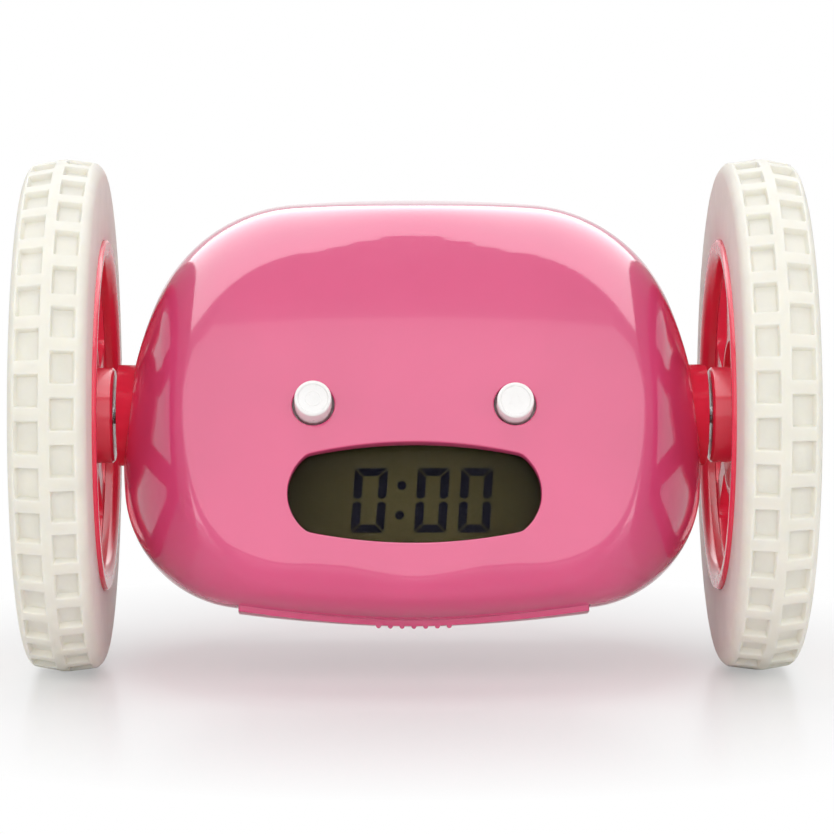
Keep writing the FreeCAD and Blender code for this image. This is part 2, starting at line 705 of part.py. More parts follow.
def gearbox(side, name):
    """Two plates on posts: the inner carries the motor, the outer ends in the collar round the axle."""
    frame = side_frame(side)
    axle, second, first, motor = gear_centres(side)
    posts = [point(f"{spot}_post_x", f"{side} * {spot}_post_up") for spot in ("fore", "low", "high")]
    guard = f"{TIP_RADIUS} + plate_margin / 2"
    foot = "post_radius + plate_margin / 2"

    def plate(start, spots):
        """Discs round the gears and posts in one plane, with an arm from the axle to each post."""
        discs = [rod(radius, "plate_thick", (spot.x, spot.y, start)) for spot, radius in spots]
        discs += [rod(foot, "plate_thick", (post.x, post.y, start)) for post in posts]
        items = [primitive(spec, frame) for spec in discs]
        for post in posts:
            arm = block(post.Length, "2 * post_radius", "plate_thick", (post.Length / 2, 0, start))
            turn = Rotation(Z_AXIS, math.degrees(math.atan2(post.y, post.x)))
            items.append(primitive(arm, frame * Placement(Vector(), turn)))
        return items

    inner = GEARBOX_INSET
    base = plate(inner, ((axle, "collar_radius - plate_margin"), (second, guard), (first, guard),
                         (motor, "motor_radius")))
    base += [primitive(rod("post_radius", f"{COVER_START} - {inner}", (post.x, post.y, inner)), frame)
             for post in posts]
    cover = plate(COVER_START, ((axle, guard), (second, guard), (first, "pin_radius + plate_margin")))
    collar = rod("collar_radius", f"{COLLAR_REACH} - ({COVER_START})", (0, 0, COVER_START))
    cover.append(primitive(collar, frame))
    pin_holes = [rod("pin_radius", f"{COVER_END} - {inner}", (spot.x, spot.y, inner))
                 for spot in (first, second)]
    threads = [rod("post_screw", "post_screw_length", (post.x, post.y, f"{COVER_END} - post_screw_length"))
               for post in posts]
    holes = [rod("axle_radius + running_gap", REACH)] + pin_holes + threads
    nose_hole = rod("motor_nose", "plate_thick", (motor.x, motor.y, inner))
    for label, items, cutters in (("base", base, holes + [nose_hole]), ("cover", cover, holes)):
        tool = fused([primitive(spec, frame) for spec in cutters])
        node(cut(fused(items), tool), f"{name}_gearbox_{label}")
    group(f"{name}_gear_pins", [primitive(spec, frame) for spec in pin_holes])
    screws = [built(frame, [thread, rod("post_radius", "small_head", (post.x, post.y, COVER_END))])
              for post, thread in zip(posts, threads)]
    group(f"{name}_gearbox_screws", screws)


def motor_can(side, name):
    """Small direct-current motor: a flattened can with a bearing nose and an end bell."""
    frame = side_frame(side)
    centre = gear_centres(side)[3]
    start = f"{GEARBOX_INSET} - motor_length"
    can = DOC.addObject("Part::Common", "Can")
    can.Base = primitive(rod("motor_radius", "motor_length", (centre.x, centre.y, start)), frame)
    can.Tool = primitive(block("2 * motor_radius", "motor_flat", "motor_length",
                               (centre.x, centre.y, start)), frame)
    nose = primitive(rod("motor_nose", "plate_thick", (centre.x, centre.y, GEARBOX_INSET)), frame)
    bell = primitive(rod("motor_nose", "plate_thick", (centre.x, centre.y, f"{start} - plate_thick")), frame)
    bore = primitive(rod("pin_radius + running_gap", "rotor_depth + plate_thick + running_gap",
                         (centre.x, centre.y, f"{GEARBOX_INSET} - rotor_depth - running_gap")), frame)
    node(cut(fused([can, nose, bell]), bore), f"{name}_motor")


def wheel_axle(side, name):
    """Steel axle with its wheel screw and the cap that hides it."""
    frame = side_frame(side)
    seat = f"{BOSS_INSET} + boss_length - cap_depth"
    thread = rod("axle_screw", "axle_screw_length", (0, 0, f"{seat} - axle_screw_length"))
    bar = rod("axle_radius", f"{seat} - {GEARBOX_INSET}", (0, 0, GEARBOX_INSET))
    node(built(frame, [bar], [thread]), f"{name}_axle")
    head = rod("2 * axle_radius", "axle_radius", (0, 0, seat))
    node(built(frame, [thread, head]), f"{name}_wheel_screw")
    disc = rod("cap_radius", "cap_thick", (0, 0, f"{seat} + cap_depth - cap_thick"))
    node(built(frame, [disc]), f"{name}_hub_cap")


# ------------------------------------------------------------------ casing
ARC_STEPS = 5           # points on each arc of the outline
STATIONS = 6            # sections each side of the middle
END_ANGLE = 80          # last section, in degrees of a quarter turn from the middle


def quarter(width, height, end_radius, corner_radius, side_radius):
    """Points from (0, height) to (width, 0) along three arcs that run into each other."""
    top = Vector(0, height - end_radius, 0)
    side = Vector(width - side_radius, 0, 0)
    span = side - top
    reach, swing = end_radius - corner_radius, side_radius - corner_radius
    along = (reach ** 2 - swing ** 2 + span.Length ** 2) / (2 * span.Length)
    across = math.sqrt(reach ** 2 - along ** 2)
    unit = Vector(span).normalize()
    corner = top + unit * along + Vector(unit.y, -unit.x, 0) * across
    first = math.atan2(corner.x - top.x, corner.y - top.y)
    second = math.atan2(corner.x - side.x, corner.y - side.y)
    spots = []
    for centre, radius, begin, end in ((top, end_radius, 0, first), (corner, corner_radius, first, second),
                                       (side, side_radius, second, math.pi / 2)):
        for step in range(ARC_STEPS):
            angle = begin + (end - begin) * step / ARC_STEPS
            spots.append(centre + Vector(math.sin(angle), math.cos(angle), 0) * radius)
    return spots + [Vector(width, 0, 0)]


def case_outline(inset, proud):
    """The casing's front outline about its waist, as points in the XZ plane."""
    width = value("case_width") / 2 - inset
    upper = quarter(width, value("case_top + case_waist") - inset, value("crown_radius") - inset,
                    value("shoulder_radius") - inset, value("flank_radius") - inset)
    lower = quarter(width, value("case_bottom - case_waist") - inset + proud, value("keel_radius") - inset,
                    value("heel_radius") - inset, value("chin_radius") - inset)
    right = [Vector(spot.x, 0, spot.y) for spot in upper]
    right += [Vector(spot.x, 0, -spot.y) for spot in reversed(lower[:-1])]
    left = [Vector(-spot.x, 0, spot.z) for spot in reversed(right[1:-1])]
    return right + left


def casing_form(inset=0, proud=0, rounded=False):
    """The casing as a solid, its walls moved in by inset and its floor down by proud."""
    outline_points = case_outline(inset, proud)
    power = value("form_power")
    waist = value("wheel_radius - case_waist")
    front, rear = value("case_front") - inset, value("case_rear") - inset
    sections = []
    for station in range(-STATIONS, STATIONS + 1):
        depth = math.sin(math.radians(END_ANGLE * station / STATIONS))
        shrink = (1 - abs(depth) ** power) ** (1 / power)
        place = Vector(0, depth * (front if station < 0 else rear), waist)
        curve = Part.BSplineCurve()
        curve.interpolate([spot * shrink + place for spot in outline_points], PeriodicFlag=True)
        sections.append(Part.Wire(curve.toShape()))
    solid = Part.makeLoft(sections, True, False)
    face = face_frame()
    out = face.Rotation.multVec(Z_AXIS)
    dome = value("face_crown") - inset
    solid = solid.common(Part.makeSphere(dome, face.Base - out * value("face_crown")))
    corner = Vector(-REACH, value("tail_distance") - inset, -REACH)
    behind = Part.makeBox(2 * REACH, 2 * REACH, 2 * REACH, corner)
    solid = solid.cut(behind)
    if rounded:
        for surface, radius in ((Part.Sphere, "face_round"), (Part.Plane, "tail_round")):
            rim = next(face for face in solid.Faces if isinstance(face.Surface, surface))
            solid = solid.makeFillet(value(radius), rim.Edges)
    return solid


def shape_of(spec, frame):
    """The plain shape of a primitive."""
    kind, sizes, at = spec
    if kind == "Part::Cylinder":
        shape = Part.makeCylinder(value(sizes["Radius"]), value(sizes["Height"]))
    else:
        shape = Part.makeBox(*(value(sizes[side]) for side in ("Length", "Width", "Height")))
    shape.Placement = frame * Placement(point(*at), Rotation())
    return shape


def prism(face, frame, start, length):
    """A flat face drawn in a frame, extruded from start along the frame's z axis."""
    solid = face.extrude(Z_AXIS * value(length))
    solid.Placement = frame * Placement(point(z=start), Rotation())
    return solid


def barrel_face(shrink=0):
    """The display window's outline: long sides and short sides all bowed, corners rounded."""
    across, up = value("window_corner_across") - shrink, value("window_corner_up") - shrink
    end, top = value("window_half_width") - shrink, value("window_height") / 2 - shrink
    middle = Vector(0, value("window_up"), 0)
    corners = [Vector(across, up, 0), Vector(-across, up, 0), Vector(-across, -up, 0), Vector(across, -up, 0)]
    peaks = [Vector(0, top, 0), Vector(-end, 0, 0), Vector(0, -top, 0), Vector(end, 0, 0)]
    arcs = []
    for index, peak in enumerate(peaks):
        start, finish = corners[index], corners[(index + 1) % len(corners)]
        arcs.append(Part.Arc(start + middle, peak + middle, finish + middle).toShape())
    return Part.Face(Part.Wire(arcs))


def barrel(shrink, frame, start, length):
    """A prism of the display window's outline."""
    solid = prism(barrel_face(shrink), frame, start, length)
    out = frame.Rotation.multVec(Z_AXIS)
    corners = [edge for edge in solid.Edges
               if abs(abs((edge.Vertexes[-1].Point - edge.Vertexes[0].Point).dot(out)) - edge.Length) < 1e-6
               and edge.Length > 1e-6 and isinstance(edge.Curve, Part.Line)]
    return solid.makeFillet(value("window_edge_round") - shrink, corners)


def oval(radius, half_length, start, length):
    """The snooze bar's upright prism, longer across the clock."""
    frame = axle_frame()
    back = "snooze_back"
    straight = f"({half_length}) - ({radius})"
    parts = [shape_of(block(f"2 * ({straight})", f"2 * ({radius})", length, (0, back, start)), frame)]
    for side in (-1, 1):
        parts.append(shape_of(rod(radius, length, (f"({side}) * ({straight})", back, start)), frame))
    return parts[0].fuse(parts[1:]).removeSplitter()


def parting_frame(side):
    """On the parting plane level with the axle: z to the front (-1) or to the rear (1)."""
    out = Y_AXIS * side
    return Placement(point(z="wheel_radius"), Rotation(Z_AXIS.cross(out), Z_AXIS, out, "ZXY"))


def half_space(side):
    """Everything ahead of the parting plane (-1) or behind it (1)."""
    low = -REACH if side < 0 else 0
    return Part.makeBox(2 * REACH, REACH, 2 * REACH, Vector(-REACH, low, -REACH))


KEY_SIDES = (-1, 1)
CASE_SCREWS = [(f"({side}) * {row}_screw_x", f"{row}_screw_z")
               for row in ("upper", "lower") for side in KEY_SIDES]
BOARD_SCREWS = [(f"({side}) * {BOARD_SCREW_X}", f"board_screw_{row}")
                for row in ("low", "high") for side in KEY_SIDES]
RING_HOLES = 6          # holes in the grille's first ring


def shell_openings():
    """What both halves of the casing give way to: the battery door and the axle collars."""
    frame = axle_frame()
    door = block(f"2 * {DOOR_HALF}", DOOR_DEPTH, "4 * wall", (0, "bay_middle", "-case_bottom - wall"))
    collar = rod("collar_radius", REACH, (0, 0, GEARBOX_INSET))
    return [shape_of(door, frame)] + [shape_of(collar, side_frame(side)) for side in (-1, 1)]


def shell_half(side, form, hollow, bosses, cutters):
    """One half of the casing with its bosses and openings."""
    space = half_space(side)
    walls = form.common(space).cut(hollow)
    reach = casing_form(value("wall - bite")).common(space)
    inside = [boss.common(reach) for boss in bosses]
    solid = walls.fuse(inside)
    solid = solid.cut(cutters + shell_openings())
    return max(solid.Solids, key=lambda part: part.Volume)


def front_shell(form, hollow):
    """Front half: leaning face with the display window and two button holes."""
    face = face_frame()
    frame = parting_frame(-1)
    bosses = [shape_of(rod("screw_boss", "case_front", (f"-({x})", up, 0)), frame) for x, up in CASE_SCREWS]
    bosses += [shape_of(rod("board_boss", "board_depth", (x, up, "-board_depth")), face)
               for x, up in BOARD_SCREWS]
    pilot = "screw_length - screw_seat + running_gap"
    cutters = [shape_of(rod("screw_shank", pilot, (f"-({x})", up, 0)), frame) for x, up in CASE_SCREWS]
    cutters += [shape_of(rod("board_screw", "board_screw_length", (x, up, "-board_depth")), face)
                for x, up in BOARD_SCREWS]
    cutters += [shape_of(rod("button_hole", "2 * board_depth", (f"({side}) * button_across", "button_up",
                                                              "-board_depth")), face) for side in (-1, 1)]
    cutters.append(barrel(0, face, "-board_depth", "2 * board_depth"))
    seat = block(f"{LENS_WIDTH} + 2 * fit_gap", f"{LENS_HEIGHT} + 2 * fit_gap", "board_depth",
                 (0, "window_up", "-lens_recess - lens_thick - board_depth"))
    cutters.append(shape_of(seat, face))
    feature(shell_half(-1, form, hollow, bosses, cutters), "front_shell")


def grille_holes():
    """Small holes over the loudspeaker: one in the middle and rings of six, twelve and so on."""
    frame = rear_frame()
    spots = [(0, "speaker_up")]
    for ring in range(1, int(value("grille_rings")) + 1):
        for step in range(RING_HOLES * ring):
            turn = f"360 * {step} / {RING_HOLES * ring} * 1deg"
            radius = f"{ring} * grille_pitch"
            spots.append((f"{radius} * cos({turn})", f"speaker_up + {radius} * sin({turn})"))
    return [shape_of(rod("grille_hole", "4 * wall", (x, up, "-2 * wall")), frame) for x, up in spots]


def rear_shell(form, hollow):
    """Rear half: flat rear face with grille, keys and alarm switch, and the snooze slot on top."""
    frame = parting_frame(1)
    rear = rear_frame()
    bosses = [shape_of(rod("screw_boss", "tail_distance", (x, up, 0)), frame) for x, up in CASE_SCREWS]
    board_back = "rear_board_at + board_thick"
    post = f"tail_distance - ({board_back})"
    bosses += [shape_of(rod("post_slim", post, (f"({side}) * key_post_x", "rear_key_up", f"-({post})")), rear)
               for side in KEY_SIDES]
    board_top = f"{SNOOZE_BOARD} + board_thick"
    bosses += [shape_of(rod("post_slim", f"case_top - ({board_top})",
                            (f"({side}) * snooze_post_x", "snooze_back", board_top)), axle_frame())
               for side in KEY_SIDES]
    cutters = []
    for x, up in CASE_SCREWS:
        cutters.append(shape_of(rod("screw_shank + fit_gap", "tail_distance", (x, up, 0)), frame))
        cutters.append(shape_of(rod("screw_head + fit_gap", "tail_distance", (x, up, "screw_seat")), frame))
    cutters += [shape_of(rod("rear_key_radius + key_gap", "3 * wall",
                             (f"({side}) * rear_key_x", "rear_key_up", "-2 * wall")), rear)
                for side in KEY_SIDES]
    slot = block("slider_width + slider_travel + 2 * fit_gap", "slider_height + 2 * fit_gap", "3 * wall",
                 (0, "rear_key_up", "-2 * wall"))
    cutters.append(shape_of(slot, rear))
    cutters.append(oval("snooze_radius + fit_gap", "snooze_half_length + fit_gap", "case_top - 3 * wall",
                        "4 * wall"))
    cutters += grille_holes()
    feature(shell_half(1, form, hollow, bosses, cutters), "rear_shell")


def snooze_bar(form):
    """Bar flush with the top of the casing, held by a flange behind the wall."""
    below = casing_form(value("wall + fit_gap"))
    floor = casing_form(value("wall + fit_gap + button_flange_thick"))
    start, height = SNOOZE_BOARD, "case_top"
    cap = oval("snooze_radius", "snooze_half_length", start, height).common(form).cut(floor)
    flange = oval("snooze_radius + snooze_flange", "snooze_half_length + snooze_flange", start, height)
    flange = flange.common(below).cut(floor)
    foot = f"{SNOOZE_BOARD} + board_thick + switch_height + button_travel + fit_gap"
    stem = oval("plunger_radius", "2 * plunger_radius", foot, "case_top").common(below)
    feature(cap.fuse([flange, stem]).removeSplitter(), "snooze_bar")


def battery_door():
    """Curved door that closes the battery bay, with grip ridges along its front edge."""
    frame = axle_frame()
    proud = value("door_proud")
    skin = casing_form(0, proud).cut(casing_form(value("door_thick"), proud))
    opening = block(f"2 * ({DOOR_HALF} - fit_gap)", f"{DOOR_DEPTH} - 2 * fit_gap", "case_bottom",
                    (0, "bay_middle", "-case_bottom - 2 * wall"))
    door = skin.common(shape_of(opening, frame))
    ridges = casing_form(-value("grip_rise"), proud).cut(casing_form(value("grip_rise"), proud))
    count = int(value("grip_count"))
    bars = [shape_of(block("grip_width", "grip_length", "case_bottom",
                           (f"({index} - ({count} - 1) / 2) * grip_pitch",
                            f"{DOOR_FRONT} + fit_gap + grip_length / 2", "-case_bottom - 2 * wall")), frame)
            for index in range(count)]
    door = door.fuse([ridges.common(bar) for bar in bars])
    below = "-case_bottom - 2 * wall"
    holes = []
    for side in (-1, 1):
        x = f"({side}) * {DOOR_SCREW_X}"
        holes.append(shape_of(rod("door_screw_shank", "case_bottom", (x, 0, below)), frame))
        holes.append(shape_of(rod("door_screw_head", f"{DOOR_SEAT} - ({below})", (x, 0, below)), frame))
    feature(max(door.cut(holes).Solids, key=lambda part: part.Volume), "battery_door")
    screws = []
    for side in (-1, 1):
        x = f"({side}) * {DOOR_SCREW_X}"
        head = rod("door_screw_head", "small_head", (x, 0, f"{DOOR_SEAT} - small_head"))
        shank = rod("door_screw_shank", "door_screw_length", (x, 0, DOOR_SEAT))
        screws.append(built(frame, [head, shank]))
    group("battery_door_screws", screws)


def battery_tray(hollow):
    """Open-bottomed bay for the cells, seated on the inside of the casing by its flange."""
    frame = axle_frame()
    width = f"2 * {DOOR_HALF} - 3 * fit_gap"
    roof = f"cell_radius + fit_gap - {CELL_DROP}"
    box = shape_of(block(width, TRAY_DEPTH, f"{roof} + tray_wall - {TRAY_RIM}",
                         (0, "bay_middle", TRAY_RIM)), frame)
    flange = shape_of(block(f"{width} + 2 * tray_flange", f"{TRAY_DEPTH} + 2 * tray_flange", "tray_wall",
                            (0, "bay_middle", TRAY_RIM)), frame).common(hollow)
    bay = shape_of(block(f"2 * {BAY_HALF}", BAY_DEPTH, f"{roof} - {TRAY_RIM} + tray_wall",
                         (0, "bay_middle", f"{TRAY_RIM} - tray_wall")), frame)
    holes = [shape_of(rod("door_screw_shank + running_gap", "door_screw_length + screw_tip",
                          (f"({side}) * {DOOR_SCREW_X}", 0, DOOR_SEAT)), frame) for side in (-1, 1)]
    feature(box.fuse(flange).cut([bay] + holes).removeSplitter(), "battery_tray")


def battery_cells():
    """Cells side by side, alternately reversed, with a contact plate at each end."""
    frame = Placement(point(z="wheel_radius"), Rotation(Y_AXIS, 90))
    count = int(value("cell_count"))
    half, pad_size = "cell_length / 2", "2 * (cell_radius - contact_margin)"
    wide, narrow = "cell_radius - 2 * contact_margin", "cell_nub"
    cells, plates = [], []
    for index in range(count):
        across = f"({index} - ({count} - 1) / 2) * {CELL_PITCH} + bay_middle"
        if index % 2:
            ends = ("cell_nub_length - cell_length / 2", "-cell_length / 2")
        else:
            ends = ("-cell_length / 2", "cell_length / 2 - cell_nub_length")
        can = rod("cell_radius", "cell_length - cell_nub_length", (CELL_DROP, across, ends[0]))
        nub = rod("cell_nub", "cell_nub_length", (CELL_DROP, across, ends[1]))
        cells.append(built(frame, [can, nub]))
        springs = (
            (f"{half} + spring_length", cone(narrow, wide, "spring_length", (CELL_DROP, across, half))),
            (f"-{BAY_HALF}", cone(wide, narrow, "spring_length",
                                  (CELL_DROP, across, f"-{half} - spring_length"))),
        )
        for outer, spring in springs:
            plate = block(pad_size, pad_size, "contact_thick", (CELL_DROP, across, outer))
            plates.append(built(frame, [plate, spring]))
    group("battery_cells", cells)
    group("battery_contacts", plates)


# ------------------------------------------------------------------ display and controls
def display(frame):
    """Lens, liquid-crystal glass, its frame and the connector strips that stand on the board."""
    depth = "lens_recess + 2 * lens_thick"
    raised = barrel(value("fit_gap / 2"), frame, "-lens_recess - lens_thick", "lens_thick")
    flange = shape_of(block(LENS_WIDTH, LENS_HEIGHT, "lens_thick", (0, "window_up", f"-({depth})")), frame)
    feature(raised.fuse(flange).removeSplitter(), "display_lens")
    glass = block(GLASS_WIDTH, GLASS_HEIGHT, "glass_thick",
                  (0, "window_up", f"-({depth}) - fit_gap / 2 - glass_thick"))
    node(built(frame, [glass]), "display_glass")
    height = f"board_depth - ({depth}) - fit_gap / 2"
    inside = (f"{GLASS_WIDTH} + 2 * fit_gap", f"{GLASS_HEIGHT} + 2 * fit_gap")
    seat = (0, "window_up", "-board_depth")
    outer = block(*(f"{size} + 2 * holder_wall" for size in inside), height, seat)
    node(built(frame, [outer], [block(*inside, height, seat)]), "display_frame")
    strip_height = f"{height} - glass_thick"
    off = f"({GLASS_HEIGHT} / 2 - strip_inset - strip_width / 2)"
    strips = [primitive(block(f"{GLASS_WIDTH} - 2 * strip_inset", "strip_width", strip_height,
                              (0, f"window_up + ({side}) * {off}", "-board_depth")), frame)
              for side in (-1, 1)]
    group("display_connectors", strips)


def main_board(frame):
    """Circuit board behind the face, with two switches under the buttons and four screws."""
    under = "-board_depth - board_thick"
    plate = block(f"2 * ({BOARD_SCREW_X} + board_edge)", "board_high - board_low", "board_thick",
                  (0, "(board_high + board_low) / 2", under))
    holes = [rod("board_screw", "board_thick", (x, up, under)) for x, up in BOARD_SCREWS]
    node(built(frame, [plate], holes), "main_board")
    screws = []
    for x, up in BOARD_SCREWS:
        shank = rod("board_screw", "board_screw_length + board_thick", (x, up, under))
        head = rod("board_boss", "small_head", (x, up, f"{under} - small_head"))
        screws.append(built(frame, [shank, head]))
    group("board_screws", screws)
    group("face_switches", [tact_switch(frame, f"({side}) * button_across", "button_up", "-board_depth")
                            for side in (-1, 1)])
    chip = block("chip_length", "chip_width", "chip_height", (0, 0, f"{under} - chip_height"))
    node(built(frame, [chip]), "control_chip")


def tact_switch(frame, x, y, z):
    """Square switch with a round plunger, standing on a board at z."""
    base = block("switch_width", "switch_width", "switch_body", (x, y, z))
    plunger = rod("plunger_radius", "switch_height", (x, y, z))
    return built(frame, [base, plunger])


def push_button(frame, label, x, y, rise, cap, flange, wall_back, switch_top):
    """Round cap with a dished end, a flange that keeps it in, and a stem for the switch."""
    back = f"-({wall_back}) - button_flange_thick"
    stem_end = f"({switch_top}) + button_travel + fit_gap"
    add = [rod(cap, f"({rise}) - ({back})", (x, y, back)),
           rod(flange, "button_flange_thick", (x, y, back)),
           rod("plunger_radius", f"{back} - ({stem_end})", (x, y, stem_end))]
    dish = rod(f"({cap}) * button_dish", "button_dish_depth", (x, y, f"({rise}) - button_dish_depth"))
    node(built(frame, add, [dish]), label)


def controls():
    """Both face buttons, the hour and minute keys, the alarm switch and their board."""
    face, rear = face_frame(), rear_frame()
    switch_top = "-board_depth + switch_height"
    for side, name in ((-1, "left"), (1, "right")):
        push_button(face, f"{name}_button", f"({side}) * button_across", "button_up", f"{name}_button_rise",
                    "button_radius", "button_flange", "button_seat", switch_top)
    board = "-tail_distance + rear_board_at"
    plate = block("2 * rear_board_half_width", "rear_board_height", "board_thick", (0, "rear_key_up", board))
    node(built(rear, [plate]), "key_board")
    top = f"{board} + board_thick"
    switches = [tact_switch(rear, f"({side}) * rear_key_x", "rear_key_up", top) for side in KEY_SIDES]
    group("key_switches", switches)
    for side, name in ((1, "hour"), (-1, "minute")):
        push_button(rear, f"{name}_button", f"({side}) * rear_key_x", "rear_key_up", "rear_key_rise",
                    "rear_key_radius", "rear_key_flange", "wall + fit_gap / 2", f"{top} + switch_height")
    knob_base = "-wall - fit_gap / 2 - button_flange_thick"
    seat = ("-slider_travel / 2", "rear_key_up", knob_base)
    knob = [block("slider_width", "slider_height", f"slider_rise - ({knob_base})", seat),
            block("slider_width + 2 * slider_travel", "slider_height + 2 * slider_lap", "button_flange_thick",
                  seat)]
    node(built(rear, knob), "alarm_switch")
    case = block("slider_width + 2 * slider_travel + 2 * slider_lap", "slider_height + 2 * slider_lap",
                 f"{knob_base} - ({top}) - fit_gap", (0, "rear_key_up", top))
    node(built(rear, [case]), "alarm_switch_case")
    top_frame = axle_frame()
    plate = block("2 * snooze_board_half", "snooze_board_width", "board_thick",
                  (0, "snooze_back", SNOOZE_BOARD))
    node(built(top_frame, [plate]), "snooze_board")
    node(tact_switch(top_frame, "0", "snooze_back", f"{SNOOZE_BOARD} + board_thick"), "snooze_switch")


def speaker():
    """Loudspeaker against the inside of the grille: basket and magnet."""
    basket = rod("speaker_radius", "basket_depth", (0, "speaker_up", "-wall - basket_depth"))
    magnet = rod("magnet_radius", "speaker_depth", (0, "speaker_up", "-wall - speaker_depth"))
    node(built(rear_frame(), [basket, magnet]), "loudspeaker")


def case_screws():
    """The four screws that draw the two halves of the casing together."""
    frame = parting_frame(1)
    screws = []
    for x, up in CASE_SCREWS:
        shank = rod("screw_shank", "screw_length", (x, up, "screw_seat - screw_length"))
        head = rod("screw_head", "screw_rise", (x, up, "screw_seat"))
        screws.append(built(frame, [shank, head]))
    group("casing_screws", screws)


def build_clock():
    """Every sub-part, from the wheels inwards."""
    for side, name in ((-1, "left"), (1, "right")):
        frame = side_frame(side)
        tyre(frame, name)
        hub(side, name)
        wheel_axle(side, name)
        gear_set(side, name)
        gearbox(side, name)
        motor_can(side, name)
    form = casing_form(rounded=True)
    hollow = casing_form(value("wall"))
    front_shell(form, hollow)
    rear_shell(form, hollow)
    snooze_bar(form)
    battery_door()
    battery_tray(hollow)
    battery_cells()
    display(face_frame())
    main_board(face_frame())
    controls()
    speaker()
    case_screws()


def export_all():
    """Check every object, then write each sub-part to its own file."""
    DOC.recompute()
    failed = [obj.Label for obj in DOC.Objects if {"Invalid", "Error"} & set(obj.State)]
    failed += [obj.Label for obj in NODES if obj.Shape.isNull() or not obj.Shape.isValid()]
    if failed:
        raise RuntimeError("these did not build: " + ", ".join(failed))
    os.makedirs("parts", exist_ok=True)
    for obj in NODES:
        obj.Shape.exportStep(f"parts/{obj.Label}.step")
        print(f"{obj.Label}: {len(obj.Shape.Solids)} solid(s), {obj.Shape.Volume:.0f} mm3")


fill_sheet()
build_clock()
export_all()
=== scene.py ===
import json
import math

import bmesh
import bpy
import numpy as np
from bpy.props import FloatProperty, FloatVectorProperty, IntProperty, PointerProperty
from mathutils import Matrix, Vector


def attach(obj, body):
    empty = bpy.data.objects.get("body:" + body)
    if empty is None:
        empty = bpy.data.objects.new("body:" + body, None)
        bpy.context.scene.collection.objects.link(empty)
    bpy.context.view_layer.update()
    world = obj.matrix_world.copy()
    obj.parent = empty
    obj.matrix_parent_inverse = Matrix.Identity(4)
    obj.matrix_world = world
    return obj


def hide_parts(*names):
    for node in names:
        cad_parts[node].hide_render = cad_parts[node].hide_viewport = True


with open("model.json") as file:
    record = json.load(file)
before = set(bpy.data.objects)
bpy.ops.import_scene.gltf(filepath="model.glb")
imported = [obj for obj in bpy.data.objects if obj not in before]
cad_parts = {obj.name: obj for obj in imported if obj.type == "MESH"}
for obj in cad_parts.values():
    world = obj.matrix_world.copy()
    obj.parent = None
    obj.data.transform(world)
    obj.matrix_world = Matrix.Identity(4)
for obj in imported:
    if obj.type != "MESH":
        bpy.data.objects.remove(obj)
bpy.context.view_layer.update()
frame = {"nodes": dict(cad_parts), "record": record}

bl_info = {
    "name": "Runaway Alarm Clock",
    "version": (1, 0, 0),
    "blender": (4, 5, 0),
    "location": "View3D > Sidebar > Clock",
    "description": "Dresses the runaway alarm clock and sets its studio",
    "category": "Add Mesh",
}

MERGE = 1e-6                # points closer than this are one
CUT_REACH = 0.004           # a cutter's end beyond the surface it opens
CUT_DEPTH = 0.008           # a cutter's end below that surface
HALVES_GAP = 0.00004        # each half of the casing stops this short of the parting plane
SKIN_BOX = (0.064, 0.070)   # depth and height of the box that is pressed onto the casing's form
SNOOZE_TOP = 0.045          # end of the snooze bar's cutters, above the casing
SYMBOL_STROKE = 0.00014     # width of the lines on the face buttons
SYMBOL_DROP = 0.00026       # the symbols' middle below the cap's rim
DIGIT_HEIGHTS = (-0.0042, -0.00417)  # the digits' back and front, on the glass

# Rear keys, alarm switch and grille, counted from the axle in the rear face's frame
KEY_ACROSS, KEY_UP, KEY_HOLE, KEY_RADIUS = 0.020, -0.012, 0.0033, 0.0030
GRILLE_UP, GRILLE_PITCH, GRILLE_HOLE = 0.010, 0.0034, 0.0009

# How the casing's front half closes and meets the face, by direction from straight up in degrees:
# power, depth and rounding. It is roundest towards the face's upper corners and square along the floor.
NOSE_LAW = (
    (0, 2.0, 0.0540, 0.0098),
    (34, 2.0, 0.0505, 0.0198),
    (50, 2.0, 0.0450, 0.0171),
    (69, 2.0, 0.0405, 0.0079),
    (140, 3.0, 0.0375, 0.0090),
    (180, 3.3, 0.0380, 0.0065),
)
# Near the forward axis the depth is the same in every direction and nothing is rounded. The law fades in
# with the distance off that axis, later above the waist than below it.
NOSE_DEPTH = 0.045
FADE_START, FADE_SHIFT, FADE_SPAN = 0.50, 0.41, 0.15
FADE_FROM, FADE_ACROSS = 60, 50


def length(name, default, description):
    """A size in metres for a property group."""
    return FloatProperty(name=name, description=description, default=default, unit="LENGTH",
                         subtype="DISTANCE", precision=5)


def degrees(name, default, description):
    """An angle, given in degrees, for a property group."""
    return FloatProperty(name=name, description=description, default=math.radians(default), subtype="ANGLE")


def row(name, default, description):
    """The two edges of a row, in metres, for an operator."""
    return FloatVectorProperty(name=name, description=description, default=default, size=2, unit="LENGTH")


def colour(name, default, description):
    """A linear colour for a property group."""
    return FloatVectorProperty(name=name, description=description, default=default, size=3,
                               subtype="COLOR", min=0.0, max=1.0)


